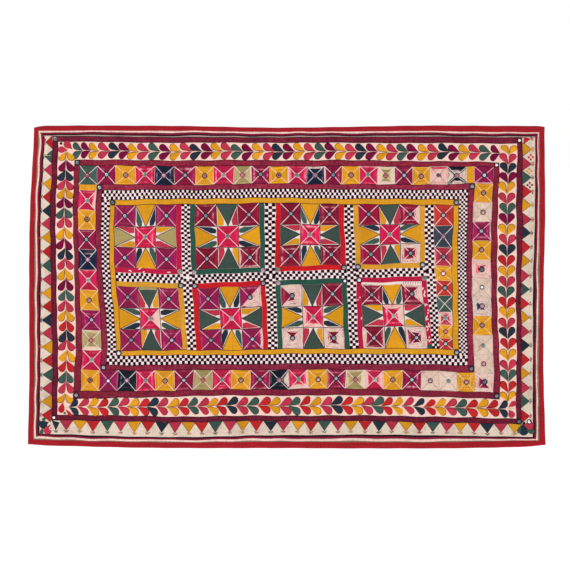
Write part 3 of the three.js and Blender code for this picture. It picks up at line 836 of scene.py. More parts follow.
# red cotton folded round the edge; its half section gives shares of the width inward and mm in front of the
# middle
binding = {"step": 8, "inside": 1.6, "hold": 0.95, "gather": 0.25, "gathers": (7, 2, 40), "gatherFrom": 1,
           "tuck": 1.2,  # the side strips' ends are tucked under by this much
           "section": ((1.0, 0.95), (0.985, 1.8), (0.93, 2.1), (0.6, 2.35),
                       (0.3, 2.3), (0.12, 1.9), (0.03, 1.1), (0, 0))}
bindingCloth = cottonCloth("binding cotton", "binding", fade=0.1, slub=0.16)
for side in sides:
    strip = strips["binding_" + side]
    length, width = stripSize(strip)
    half = [(share * width, front) for share, front in binding["section"]]
    loop = half + [(inward, -front) for inward, front in half[-2::-1]]
    loop += [(binding["inside"], -binding["hold"]), (binding["inside"], binding["hold"])]
    count = int(length / binding["step"])
    tuck = binding["tuck"] / length if side in ("left", "right") else 0
    s = np.linspace(-tuck, 1 + tuck, count + 1)
    run, rows = s * length, []
    for inward, front in loop:
        share = inward / width if side in ("top", "left") else 1 - inward / width
        x, z = stripPlace(strip, s, np.full_like(s, share))
        gather = binding["gather"] * bentWave(run, run, *binding["gathers"])
        rows.append(onCloth(x, z, front + (gather if abs(front) > binding["gatherFrom"] else 0)))
    points = np.stack(rows, 1)
    ring = len(loop)
    faces = [[i * ring + k, i * ring + (k + 1) % ring, (i + 1) * ring + (k + 1) % ring, (i + 1) * ring + k]
             for i in range(count) for k in range(ring)]
    faces += [list(range(ring))[::-1], [count * ring + k for k in range(ring)]]
    slab = {"points": points.reshape(-1, 3), "faces": faces}
    layCloth("folded binding " + side, [slab], bindingCloth, "binding_cotton", "binding_" + side)
print("binding folded")

# the cloth everything is sewn to; its back is the back of the hanging
ground = {"inset": 2.0, "flat": (1.887, 1.176), "size": (1880, 1165),
          "form": {"back": -0.6, "face": 0.6, "step": 14, "ripple": 0.35, "wovenBack": True}}


def groundPlace(s, t):
    left, right = strips["binding_left"]["first"], strips["binding_right"]["second"]
    top, foot = strips["binding_top"]["first"], strips["binding_bottom"]["second"]
    depth = -(top[:, 1].mean() + (foot[:, 1].mean() - top[:, 1].mean()) * t)
    x0 = np.interp(depth, -left[:, 1], left[:, 0]) + ground["inset"]
    x1 = np.interp(depth, -right[:, 1], right[:, 0]) - ground["inset"]
    x = x0 + (x1 - x0) * s
    z0 = np.interp(x, top[:, 0], top[:, 1]) - ground["inset"]
    z1 = np.interp(x, foot[:, 0], foot[:, 1]) + ground["inset"]
    return x, z0 + (z1 - z0) * t


pile = Pile()
pile.add(clothSlab(groundPlace, *ground["size"], ground["form"]))
groundCotton = cottonCloth("undyed ground cotton", "ground", fade=0.06, slub=0.08, stain=0.2)
groundCloth = pile.make("backing cloth", [groundCotton])
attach(groundCloth, "root")
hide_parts("ground_cloth")
print("ground cloth woven")

# leaves in pairs on a thin stem; knots give the pair's number and its place in mm
leaves = {
    "gap": 0.44, "thickness": 0.55, "lift": 2.7, "edge": 2.4, "edgeDrop": 0.4, "edgeShade": 0.36,
    "cornerLift": 3.0, "spotLift": 3.4, "spotStep": 0.12, "spotThick": 0.5, "stray": 1.5, "swing": 0.05,
    "crowding": (0.8, 1.1), "longer": (0.96, 1.04), "wider": (0.95, 1.05), "shade": (0.95, 1.15),
    "top": {"tip": 1, "length": 44.5, "width": 23.8,
            "knots": ((0, -770), (2, -711), (3, -675), (4, -634), (6, -566), (8, -488), (41, 758)),
            "chart": "green plum yellow rose navy plum yellow rose"},
    "right": {"tip": 1, "length": 44.5, "width": 24.3, "knots": ((0, -75), (4, -217), (24, -977)),
              "chart": "yellow rose navy plum yellow rose green plum yellow rose navy red yellow rose green "
                       "red yellow rose navy red yellow rose green red yellow"},
    "left": {"tip": -1, "length": 44.5, "width": 24.3, "knots": ((0, -108), (7, -351), (8, -393), (24, -993)),
             "chart": "yellow plum navy rose yellow plum green rose yellow plum navy rose yellow plum green "
                      "rose yellow red navy rose yellow red green rose yellow red"},
    "bottom": {"tip": -1, "length": 45.5, "width": 25.8, "knots": ((0, -772), (16, -192), (42, 796)),
               "chart": "navy rose yellow red green rose yellow red navy rose yellow red green rose yellow "
                        "red navy rose green red yellow rose green red yellow rose navy red yellow rose "
                        "green red yellow rose navy red yellow rose green red yellow red navy"},
    # odd leaves that fill the corners: tip, round end, width, dye
    "corners": (((-782, -81), (-813, -52), 26, "rose"), ((-798, -81), (-837, -79), 24, "rose"),
                ((-816, -1000), (-826, -1042), 23, "red"), ((-811, -1026), (-786, -1054), 11, "red"),
                ((808, -1024), (838, -1003), 20, "rose"), ((811, -1029), (828, -1060), 25, "rose"),
                ((-866, -1075), (-901, -1093), 31, "navy"), ((-908, -1066), (-897, -1094), 15, "navy"),
                ((-893, -1098), (-897, -1123), 13, "spruce"), ((-862, -1083), (-879, -1120), 31, "rose"),
                ((862, -1076), (868, -1124), 34, "navy"), ((858, -1082), (846, -1116), 15, "spruce"),
                ((870, -1103), (906, -1112), 20, "green"), ((863, -1085), (902, -1090), 33, "rose"),
                ((-884, -36), (-883, -50), 7, "rose")),
    # round spots beside them: place, radius, dye
    "spots": (((-825, -58), 4.8, "black"), ((-887, -1068), 6.4, "spruce"), ((-860, -1099), 7.6, "cream"),
              ((-860, -1099), 4.4, "red"), ((-812, -1043), 4.2, "spruce"), ((886, -1074), 8.8, "black"),
              ((886, -1074), 6.8, "blank"), ((889, -1072), 3.6, "black"), ((867, -1079), 4.6, "black")),
}
leafPoints, spotPoints = Points(), Points()
for side in sides:
    strip, plan = strips["leaf_border_" + side], leaves[side]
    chart = plan["chart"].split()
    numbers, places = zip(*plan["knots"])
    usual = abs(places[-1] - places[0]) / numbers[-1]
    for number in range(numbers[-1] + 1):
        place = np.interp(number, numbers, places) + either(leaves["stray"])
        near = np.interp((number - 1, number + 1), numbers, places)
        reach = plan["length"] * np.clip(abs(near[1] - near[0]) / usual / 2, *leaves["crowding"])
        level = side in ("top", "bottom")
        tipUp = 0 if level else -plan["tip"]
        tipAcross = plan["tip"] if level else 0
        share = stripShare(strip, place + (tipAcross + tipUp) * reach * leafForm["widest"])
        x, z = stripPlace(strip, share, 0.5)
        for half in (0, 2):
            swing = either(leaves["swing"])
            longer, wider = [dice.uniform(*leaves[way]) for way in ("longer", "wider")]
            size = (reach * longer, plan["width"] / 2 * wider, unit)
            ahead = (tipAcross - swing * tipUp, tipUp + swing * tipAcross)
            dye = chart[number % len(chart)]
            shade = dice.uniform(*leaves["shade"])
            leafPoints.add(x, z, leaves["lift"], *ahead, size, dye, shade, side=half)
            # the turned-under edge is drawn as a darker copy of the leaf behind it: a thin line of painted
            # shade round the leaf
            size = (size[0] + leaves["edge"], size[1] + leaves["edge"], unit)
            back = (1 - half) * leaves["edge"] * (1 + leaves["gap"])
            lift = leaves["lift"] - leaves["edgeDrop"]
            leafPoints.add(x - back * ahead[1], z + back * ahead[0], lift, *ahead, size, dye,
                           leaves["edgeShade"], side=half)
for tip, end, width, dye in leaves["corners"]:
    run = np.subtract(tip, end)
    size = (np.linalg.norm(run), width / 2, unit)
    leafPoints.add(*tip, leaves["cornerLift"], *run, size, dye, side=1)
for number, (place, radius, dye) in enumerate(leaves["spots"]):
    lift = leaves["spotLift"] + leaves["spotStep"] * number
    spotPoints.add(*place, lift, 1, 0, (radius, radius, leaves["spotThick"]), dye)
settle(growPiece("leaf patches", leafShape, leafPoints, Gap=leaves["gap"], Thickness=leaves["thickness"] * mm,
                 Cloth=dyedCotton), "border_cotton")
for side in sides:
    stems.addAlong(strips["leaf_border_" + side], 0.5, lifts["stem"], "stem", 24)
print("leaves sewn on")


# a triangle's corners drawn in from its sides by the given amounts in mm
def drawnIn(corners, amounts):
    corners = np.array(corners, float)
    middle = corners.mean(0)
    lines = []
    for k in range(3):
        a, b = corners[k], corners[(k + 1) % 3]
        normal = np.array([-(b - a)[1], (b - a)[0]])
        normal /= np.linalg.norm(normal)
        if normal @ (middle - a) < 0:
            normal = -normal
        lines.append((normal, normal @ a + amounts[k]))
    pairs = [(lines[k - 1], lines[k]) for k in range(3)]
    return [np.linalg.solve(np.array([one[0], two[0]]), [one[1], two[1]]) for one, two in pairs]


# a cloth triangle on its base, cut short of its tip by a share
def triangleSlab(corners, form, cut=0.02):
    a, b, tip = [np.asarray(c, float) for c in corners]
    reach = 1 - cut

    def place(s, t):
        s, t = s[..., None], t[..., None] * reach
        spot = (a + (tip - a) * t) * (1 - s) + (b + (tip - b) * t) * s
        return spot[..., 0], spot[..., 1]
    return clothSlab(place, np.linalg.norm(b - a), np.linalg.norm((a + b) / 2 - tip) * reach, form)


# sawtooth triangles with their bases on the maroon band, and a bird's foot of stitches at each tip
saw = {
    "base": 50, "form": {"back": 1.7, "face": 2.5, "step": 9, "puff": 0.15, "ripple": 0.12},
    "left": {"ends": (-55, -1054), "count": 21, "tip": 0.13, "foot": 0.985,
             "chart": "red green rose yellow red navy rose yellow"},
    "right": {"ends": (-80, -1052), "count": 20, "tip": 0.72, "foot": 0.015,
              "chart": "yellow rose green red yellow rose navy red"},
    "bottom": {"ends": (-805, 834), "count": 34, "tip": 0.72, "foot": 0.015,
               "chart": "rose yellow red green rose yellow red navy"},
    # odd triangles in the corners: base, tip and dye
    "odd": ((((867, -37), (867, -60)), (894, -41), "red"),
            (((-858, -1069), (-829, -1077)), (-844, -1107), "navy")),
    "lineX": (-884, -875, -866), "lineZ": -103,  # a line of stitches on one tooth
    "toes": (-78, -40, 0, 40, 78), "toe": (5.0, 1.5, 0.9), "toeStart": 6.0, "toeShade": 0.6, "lineShade": 0.7,
    "toeSwing": 0.15, "toeGap": (0.85, 1.15), "stray": 2, "tipStray": 0.03, "wider": (0.94, 1.02),
    "shade": (0.82, 1.04),
}


def sewTriangle(pile, corners, dye, shade):
    pile.add(triangleSlab(corners, saw["form"]), dye, shade=shade)
    (x0, z0), (x1, z1), (x, z) = corners
    stems.add([x0, x, x1], [z0, z, z1], lifts["tooth"], "thread")
    ahead = math.atan2(z - (z0 + z1) / 2, x - (x0 + x1) / 2)
    for turn in saw["toes"]:
        out = ahead + math.radians(turn) + either(saw["toeSwing"])
        start = saw["toeStart"] * dice.uniform(*saw["toeGap"])
        across, up = math.cos(out), math.sin(out)
        crossStitches.add(x + start * across, z + start * up, lifts["toe"], across, up, saw["toe"], dye,
                          saw["toeShade"])


pile = Pile()
for side in ("left", "right", "bottom"):
    strip, plan = strips["triangle_border_" + side], saw[side]
    chart = plan["chart"].split()
    for number, place in enumerate(np.linspace(*plan["ends"], plan["count"])):
        share = stripShare(strip, place + either(saw["stray"]))
        half = saw["base"] / 2 / stripSize(strip)[0] * dice.uniform(*saw["wider"])
        tip = plan["tip"] + either(saw["tipStray"])
        corners = [stripPlace(strip, share + move, t) for move, t in
                   ((-half, plan["foot"]), (half, plan["foot"]), (0, tip))]
        sewTriangle(pile, corners, chart[number % len(chart)], dice.uniform(*saw["shade"]))
for (first, second), tip, dye in saw["odd"]:
    sewTriangle(pile, [first, second, tip], dye, 1.0)
for x in saw["lineX"]:
    crossStitches.add(x, saw["lineZ"], lifts["tack"], 1, 0, saw["toe"], "butterThread", saw["lineShade"])
settle(pile.make("sawtooth triangles", [dyedCotton]), "border_cotton")
print("sawtooth triangles sewn on")

mirrors, rings = Points(), Points()
# dye and radius of the glass, the glass dye being partly painted reflection, then dye and reach of its
# stitched ring in mm
mirrorKinds = {
    "ink": ("silver", 6.2, "ink", 6.0), "rust": ("dullGlass", 5.0, "rust", 6.0),
    "scarlet": ("roseGlass", 4.8, "scarlet", 5.4), "mauve": ("lilac", 5.2, "mauve", 5.8),
    "bare": ("greenGlass", 8.4, None, 0), "corner": ("silver", 6.6, "ink", 6.4),
    "bright": ("pearl", 6.4, "ink", 6.4), "dim": ("slate", 6.6, "ink", 6.4),
    "white": ("blank", 5.6, "ink", 5.0), "lilac": ("lilac", 7.6, None, 0),
    "dark": ("slate", 7.6, None, 0), "moss": ("mossGlass", 8.4, None, 0),
    "ember": ("roseGlass", 4.6, "rust", 5.8), "bead": ("blank", 4.8, "scarlet", 6.0),
}
# shine scales the glass colour of each mirror: painted reflection, brighter on some mirrors and dimmer on
# others
mirrorForm = {"lift": 2.6, "ringLift": 2.8, "dome": 0.08, "turn": 6.28, "ringShade": (0.85, 1.15),
              "shine": {"rust": (0.3, 0.75, 0.9, 1.5), "white": (1.4,), "bead": (1.3,)},
              "usual": (0.75, 0.9, 1.05, 1.3)}
# which kind is sewn on which silk
mirrorOn = {
    "plum": "ink", "silkPlum": "ink", "wine": "ink", "claret": "ink", "magenta": "ink", "vermilion": "ink",
    "brick": "ink", "yellow": "rust", "cream": "rust", "green": "scarlet", "olive": "scarlet",
    "silkNavy": "mauve", "midnight": "mauve", "dusk": "mauve", "pink": "bare", "crimson": "bare",
}


def sewMirror(x, z, kind):
    lean = dice.uniform(0, mirrorForm["turn"])
    across, up = math.cos(lean), math.sin(lean)
    dye, radius, ring, reach = mirrorKinds[kind]
    shine = dice.choice(mirrorForm["shine"].get(kind, mirrorForm["usual"]))
    size = (radius, radius, radius * mirrorForm["dome"])
    mirrors.add(x, z, mirrorForm["lift"], across, up, size, dye, shine)
    if ring:
        shade = dice.uniform(*mirrorForm["ringShade"])
        rings.add(x, z, mirrorForm["ringLift"], across, up, (reach,) * 3, ring, shade)


# a silk square of four triangles round a mirror; wear is the share of the silk's depth that is gone, the same
# all round or given for the top, right, bottom and left triangle; 0 is sound, below 0 is how strong the
# painted sheen on a fold of sound silk is, and 2 is added where the silk is gone from the mirror outward
silkForm = {"back": 1.7, "face": 2.4, "step": 12, "puff": 0.3, "ripple": 0.2}
slit = {"half": 1.1, "rim": 0.2, "lift": 2.2, "cut": 5, "pointed": 1, "start": 0.03, "stop": 2, "seam": 0.3,
        "fromMirror": 2, "sound": -3.0, "wornFoldAndSheen": 0.6, "soundSilkSheen": (0, 0, 0.15), "bareFrom": 0.6,
        "stray": 1.5, "shade": (0.92, 1.08),
        "kept": {"wine": 1.6, "claret": 0.8, "pink": 1.6, "midnight": 3.6}}
# light thread couched over the slits
couch = {"magenta": "pinkThread", "yellow": "butterThread", "silkNavy": "greyThread",
         "midnight": "greyThread", "cream": "ravel"}
# how strongly worn folds and their painted sheen show on each silk
foldAndSheenShare = {"pink": 0.9, "crimson": 0.9, "silkPlum": 0.9, "wine": 0.9, "claret": 0.9, "silkNavy": 1.0,
             "midnight": 0.8, "magenta": 0.7, "olive": 0.5, "yellow": 0}
# painted light and shade on silk laid across and upright, for red, green and blue; the dull ones show no such
# difference
silkLayPaintedLight = ((0.87, 0.85, 0.82), (1.12, 1.1, 1.2))
dullSilk = ("yellow", "cream", "vermilion", "brick")
couching, patchSeams = Lines(), Lines()


def silkSquare(pile, corners, dye, wear, mirror=None):
    corners = [np.asarray(c, float) for c in corners]
    middle = np.mean(corners, 0) + [either(slit["stray"]), either(slit["stray"])]
    wears = wear if isinstance(wear, tuple) else (wear,) * 4
    cut = slit["pointed"] if mirror == "none" else slit["cut"]
    for k, gone in enumerate(wears):
        a, b = corners[k], corners[(k + 1) % 4]
        a, b, tip = drawnIn([a, b, middle], [slit["rim"], slit["half"], slit["half"]])
        height = np.linalg.norm((a + b) / 2 - tip)
        slab = triangleSlab([a, b, tip], silkForm, cut / height)
        if gone > slit["fromMirror"]:
            slab["grain"][:, 1] = slab["grain"][:, 1].max() - slab["grain"][:, 1]
            gone -= slit["fromMirror"]
        away = np.full(len(slab["points"]), gone * height if gone > 0 else slit["sound"])
        if gone > slit["seam"]:  # stitches hold some silk along the slits
            along = slab["grain"][:, 0]
            away[np.minimum(along, along.max() - along) < slit["kept"].get(dye, 0)] = slit["sound"]
        # sound silk gets a fold of painted sheen now and then; worn silk a fold that is partly worn and
        # partly painted highlight
        fold = -gone if gone < 0 else slit["wornFoldAndSheen"] if gone else dice.choice(slit["soundSilkSheen"])
        bars = foldAndSheenShare.get(dye, 0.5) * fold
        # triangles laid across are painted darker and those laid upright lighter, as the satin takes the
        # light
        shade = 1 if dye in dullSilk else np.array(silkLayPaintedLight[k % 2])
        pile.add(slab, dye, away, int(dye == "cream"), shade * dice.uniform(*slit["shade"]), bars)
    worn = min(wears) > slit["bareFrom"]
    lineDye = "ravel" if worn else couch.get(dye, "paleThread")
    for k in range(4):
        run = middle - corners[k]
        start = corners[k] + run * slit["start"]
        end = middle - run * (cut + slit["stop"]) / np.linalg.norm(run)
        couching.add([start[0], end[0]], [start[1], end[1]], slit["lift"], lineDye)
        ahead = corners[(k + 1) % 4]
        if worn:
            patchSeams.add([corners[k][0], ahead[0]], [corners[k][1], ahead[1]], lifts["patchSeam"], "ravel")
    if mirror != "none":
        sewMirror(*middle, mirror or mirrorOn[dye])
    return middle


# corners of a square on a strip, from the upper left one round to the right
def squareCorners(strip, s0, s1):
    turn = ((s0, 0), (s0, 1), (s1, 1), (s1, 0)) if strip["axis"] else ((s0, 0), (s1, 0), (s1, 1), (s0, 1))
    return [stripPlace(strip, s, t) for s, t in turn]


tackSize, tackShade = (2.6, 1.1, 0.6), (0.85, 1.15)


# loose stitches in rows from one place to another
def tack(start, end, count, size, dye):
    run = np.subtract(end, start)
    for share in (np.arange(count) + 0.5) / count:
        x, z = np.add(start, run * share)
        crossStitches.add(x, z, lifts["tack"], *run, size, dye, dice.uniform(*tackShade))


# squares of a border: knots give the square's number and where it starts in mm; each is dye, wear and,
# where it isn't the usual one, the mirror
squares = {
    "top": {"knots": ((0, -758), (1, -690), (2, -624), (3, -550), (4, -480), (5, -410), (6, -333), (7, -266),
                      (8, -191), (10, -61), (12, 74), (14, 202), (16, 335), (18, 462), (20, 589), (21, 659),
                      (22, 687), (23, 757)),
            "plain": (21,),
            "chart": (("green", 0), ("silkPlum", (-0.4, 0, 0, 0)), ("yellow", 0),
                      ("pink", (-1, -0.5, -0.4, 0)), ("silkNavy", (0, -0.7, 0, -0.9)),
                      ("silkPlum", (-0.8, -0.5, 0, 0)), ("yellow", 0), ("pink", (0, -0.2, -0.3, -0.7)),
                      ("olive", (0, 0.12, 0, 0)), ("silkPlum", (-0.8, -0.9, -0.4, -1)), ("yellow", 0),
                      ("pink", (-0.6, -0.6, 0, 0.25)), ("silkNavy", (0.28, -0.6, 0, -0.8)),
                      ("silkPlum", (0, -0.7, 0, 0.16)), ("yellow", 0), ("pink", (-0.8, -0.4, -0.6, 0)),
                      ("olive", (0.25, 0.45, 0.3, 0.6)), ("silkPlum", (-0.4, 0, -0.3, -0.5)), ("yellow", 0),
                      ("pink", (2.55, 0.66, 1.2, 0.95), "dark"), ("midnight", (2.3, 0.9, 0.42, 0.75)),
                      ("yellow", 0), ("magenta", (0, 0, 0.12, 0), "bright"))},
    "right": {"knots": ((0, -206), (10, -898)), "plain": (),
              "chart": (("yellow", 0), ("cream", 1), ("magenta", (-0.8, 0.14, -1, -0.5), "bright"),
                        ("yellow", 0), ("pink", (0.6, 1.2, 0.95, 0.52), "dim"), ("cream", 1, "white"),
                        ("silkNavy", (0.8, 0.8, 0.7, 0.55)), ("yellow", 0), ("cream", 1, "moss"),
                        ("cream", 1, "ember"))},
    "bottom": {"knots": ((0, -752), (4, -479), (8, -202), (10, -61), (12, 79), (14, 215), (15, 287),
                         (16, 356), (17, 424), (18, 493), (19, 557), (20, 622), (21, 687), (22, 756)),
               "plain": (),
               "chart": (("yellow", 0), ("magenta", 0, "white"), ("midnight", (0, -0.3, -0.4, -0.6)),
                         ("pink", (-0.5, -0.7, -0.6, -0.3)), ("yellow", 0),
                         ("silkPlum", (-0.3, 0, -0.4, 0)), ("olive", 0), ("pink", (0, -0.8, -0.9, -0.3)),
                         ("yellow", 0), ("silkPlum", (-0.4, -0.5, -1, -0.4)),
                         ("midnight", (0, 0.58, -0.4, -0.5)), ("pink", (-0.4, 0.3, 0.5, -0.5)),
                         ("yellow", 0), ("silkPlum", (-0.8, -0.6, -0.7, -0.6)),
                         ("olive", (0.1, 0.45, 0, 0.15)), ("pink", (-0.7, 0.6, 0, 0.35)), ("yellow", 0),
                         ("silkPlum", (-0.4, -0.7, -1, 0)), ("cream", 1, "mauve"), ("cream", 1, "moss"),
                         ("yellow", 0, "ember"), ("silkPlum", (1.2, 1.2, 0.42, 0.4), "dim"))},
    "left": {"knots": ((0, -206), (1, -228), (10, -887)), "plain": (0,),
             "chart": (("yellow", 0), ("pink", (-0.4, 0.35, 0, -0.3)), ("yellow", 0),
                       ("silkPlum", (-0.6, 0, 0, 0)), ("silkNavy", (-0.8, 0, 0, -0.3)),
                       ("pink", (-0.6, 0, 0, 0)), ("yellow", 0), ("magenta", (-0.5, -0.3, -0.4, -0.5)),
                       ("olive", (0.15, 0, 0.4, 0)), ("pink", (-0.5, 0, 0, -0.4)))},
}
plainSquare = {"size": (26, 70), "inset": (0.02, 0.01)}
# loose stitches on some squares, from and to in mm from the mirror
squareRing = [((-1, 1), (1, 1)), ((1, 1), (1, -1)), ((1, -1), (-1, -1)), ((-1, -1), (-1, 1))]
diagonals = ((1, 1), (1, -1), (-1, -1), (-1, 1))
tacked = {
    ("bottom", 20): ("butterThread", 4, [(np.multiply(a, half), np.multiply(b, half))
                                         for half in (15, 24) for a, b in squareRing]),
    ("bottom", 18): ("black", 2, [((-34, 32), (-22, 24)), ((-27, 35), (-16, 28)), ((14, -18), (24, -24))]),
    ("right", 4): ("red", 2, [((a * 8, b * 8), (a * 17, b * 17)) for a, b in diagonals]
                   + [((20, -22), (30, -34)), ((26, -20), (33, -28)), ((-24, 24), (-15, 21))]),
    ("right", 5): ("black", 2, [((-34, -26), (-26, -33)), ((-8, -30), (0, -33))]),
    ("right", 8): ("red", 3, [((-5, -6), (-18, -21)), ((-9, 2), (-16, -8))]),
}
for side, plan in squares.items():
    strip, pile = strips["square_border_" + side], Pile()
    numbers, places = zip(*plan["knots"])
    edges = stripShare(strip, np.interp(np.arange(numbers[-1] + 1), numbers, places))
    for number, (dye, wear, *mirror) in enumerate(plan["chart"]):
        s0, s1 = edges[number], edges[number + 1]
        if number in plan["plain"]:
            a, b = plainSquare["inset"]
            start, run = s0 + (s1 - s0) * a, (s1 - s0) * (1 - 2 * a)
            pile.add(clothSlab(lambda s, t: stripPlace(strip, start + run * s, b + (1 - 2 * b) * t),
                               *plainSquare["size"], silkForm), dye, slit["sound"])
            continue
        middle = silkSquare(pile, squareCorners(strip, s0, s1), dye, wear, *mirror)
        dye, count, runs = tacked.get((side, number), ("", 0, ()))
        for start, end in runs:
            tack(middle + start, middle + end, count, tackSize, dye)
    settle(pile.make("silk squares " + side, [silk, creamCotton]), "patch_silk")
print("square borders sewn on")

# squares of the column, from the top: where each starts in mm, and dye, wear and mirror as above
column = {"places": (-283, -360, -441, -507, -561, -616, -675, -722, -770, -810),
          "chart": (("vermilion", 0), ("dusk", (-0.4, 0, -0.5, 0)), ("brick", (0, -0.6, 0, 0.08)),
                    ("yellow", 0, "bead"), ("vermilion", 0), ("green", 0, "none"),
                    ("brick", (0.42, 0.5, 0.15, 0.45), "bare"), ("yellow", 0, "scarlet"), ("vermilion", 0))}
strip, pile = strips["square_column"], Pile()
columnCloth = cottonCloth("square column cotton", "cream", fade=0.06, slub=0.08, stain=0.3)
layCloth("square column cloth", [stripSlab(strip, stripForm)], columnCloth, "patch_silk", "square_column")
edges = stripShare(strip, np.array(column["places"], float))
for number, (dye, wear, *mirror) in enumerate(column["chart"]):
    silkSquare(pile, squareCorners(strip, edges[number], edges[number + 1]), dye, wear, *mirror)
settle(pile.make("silk squares column", [silk]), "patch_silk")
print("column of squares sewn on")

# star cells: triangle and the two petals beside it, left then right, or upper then lower
starCharts = {
    "yellow": {"top": ("yellow", "green", "navy"), "left": ("spruce", "rose", "yellow"),
               "right": ("spruce", "yellow", "rose"), "bottom": ("yellow", "navy", "green")},
    "green": {"top": ("spruce", "yellow", "rose"), "left": ("yellow", "navy", "green"),
              "right": ("yellow", "green", "navy"), "bottom": ("spruce", "rose", "yellow")},
}
# kind of star, petals swapped, corner dye, frame and its two mirrors, wear of the four corners and the centre
blocks = {
    "upper_1": ("yellow", False, "magenta", "framePink", (None, "bare"),
                (-0.3, (0, 0, 0, -0.5), 0, 0, (-0.5, -0.9, -0.4, -0.5))),
    "upper_2": ("green", False, "wine", "frameGreen", ("lilac", "lilac"),
                ((-0.7, -0.7, 0, -0.5), (0, 0, -0.3, 0), 0, (-0.6, -0.9, 0.12, 0.14), 0)),
    "upper_3": ("yellow", False, "wine", "frameRed", ("bare", "corner"),
                (0, (-0.6, 0, -0.5, -0.5), (-0.7, -0.6, 0, -0.9), (-0.8, 0, 0, -0.7),
                 (-0.9, -0.4, -0.6, -0.5))),
    "upper_4": ("green", False, "claret", "frameMustard", ("corner", "corner"),
                (0, (-0.4, 0.6, -0.9, -0.6), (0, 0, 0, -0.4), (0.5, 0.5, 0.5, 0.34), 0)),
    "lower_1": ("green", True, "magenta", "frameMustard", (None, "corner"),
                (0, (-0.6, 0, 0, -0.5), (-0.3, 0, 0, 0), (-0.7, 0, 0, -0.5), (-0.5, 0.72, -0.5, 0))),
    "lower_2": ("yellow", False, "magenta", "frameRed", ("corner", "corner"),
                ((0, 0, 0, -0.5), (-0.9, 1.2, 2.72, 0), (0, 0, 0, -0.4), (0, 0.3, -1, 0),
                 (0, -0.3, 0, -0.6))),
    "lower_3": ("green", False, "wine", "frameGreen", ("lilac", "white"),
                ((0.8, 1.2, 0.64, 0.1), (-0.4, 0, -0.4, 0), (0.5, 1.2, 1, 0.85), (0.45, 0.9, 0.58, 0.62),
                 (0, -0.8, 0.48, 0.38))),
    "lower_4": ("yellow", True, "wine", "framePink", ("bright", "bare"),
                ((0.14, -1, -1, -0.8), (0.26, 0.85, -0.7, -0.9), (0, 0.15, 0.15, 0.38),
                 (0.58, 0.56, 0.6, 0.26), (0.38, 0.7, -1, -1))),
}
# petals and points are in shares of their cell
star = {"petalEdge": 0.03, "band": 0.06, "petalStart": 0.13, "petalEnd": 0.97, "petalSize": (20, 58),
        "roundFrom": 0.72, "roundness": 0.285, "bluffness": 0.34, "foot": 0.02, "slope": 0.48,
        "point": ((0.02, 0.004), (0.98, 0.004), (0.5, 0.99)), "seamEnd": 0.995, "blockSize": (270, 235),
        "frameWidth": 17.7, "shade": (0.9, 1.1),
        "form": {"back": 1.7, "face": 2.45, "step": 12, "puff": 0.25, "ripple": 0.15},
        "frameGap": 0.15,  # between a block's frame strips, where their ends meet
        "blockForm": {"back": 0.92, "face": 1.95, "step": 10, "ripple": 0.12, "wovenBack": True},
        "frameForm": {"back": 0.92, "face": 2.0, "step": 8, "stepAcross": 5, "puff": 0.3, "pucker": 0.25}}
blockCloth = cottonCloth("star block cotton", "starGround", fade=0.05, slub=0.07, stain=0.15)
frameSlots = {"framePink": "frame_pink", "frameGreen": "frame_green", "frameRed": "frame_red",
              "frameMustard": "frame_mustard"}
frameCloth = {dye: cottonCloth("frame cotton " + dye, dye, fade=0.12, slub=0.16) for dye in frameSlots}
nets = {key: blockNet("star_block_" + key) for key in blocks}


# the cell beside an edge of the block, a along the edge and b from the edge to the centre
def starCell(net, side):
    i, j = {"top": (1, 0), "bottom": (1, 2), "left": (0, 1), "right": (2, 1)}[side]
    nw, ne, sw, se = net[j, i], net[j, i + 1], net[j + 1, i], net[j + 1, i + 1]
    a0, a1, b0, b1 = {"top": (nw, ne, sw, se), "bottom": (sw, se, nw, ne),
                      "left": (nw, sw, ne, se), "right": (ne, se, nw, sw)}[side]

    def place(a, b):
        a, b = np.asarray(a)[..., None], np.asarray(b)[..., None]
        spot = (a0 * (1 - a) + a1 * a) * (1 - b) + (b0 * (1 - a) + b1 * a) * b
        return spot[..., 0], spot[..., 1]
    return place


def petalSlab(cell, mirrored, bluff):
    def place(s, t):
        b = star["petalStart"] + (star["petalEnd"] - star["petalStart"]) * t
        outer, inner = star["petalEdge"], star["foot"] + star["slope"] * b - star["band"]
        end = np.clip(t - star["roundFrom"], 0, 1) / star["bluffness" if bluff else "roundness"]
        end = np.sqrt(1 - end ** 2)
        if bluff:  # square-cut ones are rounded on the side of the triangle only
            a = outer + (inner - outer) * s * end
        else:
            a = (outer + inner) / 2 + (inner - outer) * (s - 0.5) * end
        return cell(1 - a if mirrored else a, b)
    return clothSlab(place, *star["petalSize"], star["form"])


# mends: the last block is sewn on lower, with a cream strip above it and a green end on its frame; two frames
# have pale worn flecks, and a scrap lies on one triangle
mends = {"block": "lower_4", "drop": (8, 9, 10.5, 12), "stripInset": 0.5, "greenEnd": 16,
         "greenForm": {"back": 1.9, "face": 2.9, "step": 8},
         "ticks": 8, "tickShares": (0.7, 0.98), "tickRows": (0.1, 0.85), "tick": (5.0, 1.5, 0.6),
         "flecks": {"lower_4": {"right": 20, "left": 3}, "upper_1": {"level": 4}}, "fleck": (5.0, 2.2, 0.5),
         "fleckAlong": (0.12, 0.92), "fleckAcross": (0.15, 0.85), "fleckLength": (0.6, 1.5), "fleckLean": 0.6,
         "quarterTurn": 1.57,
         "faded": "lower_1", "scrapFrom": (0.06, 0.01), "scrapRun": (0.86, 0.13), "scrapSize": (76, 10),
         "scrapForm": {"back": 2.3, "face": 3.0, "step": 9}}
mendPile = Pile()
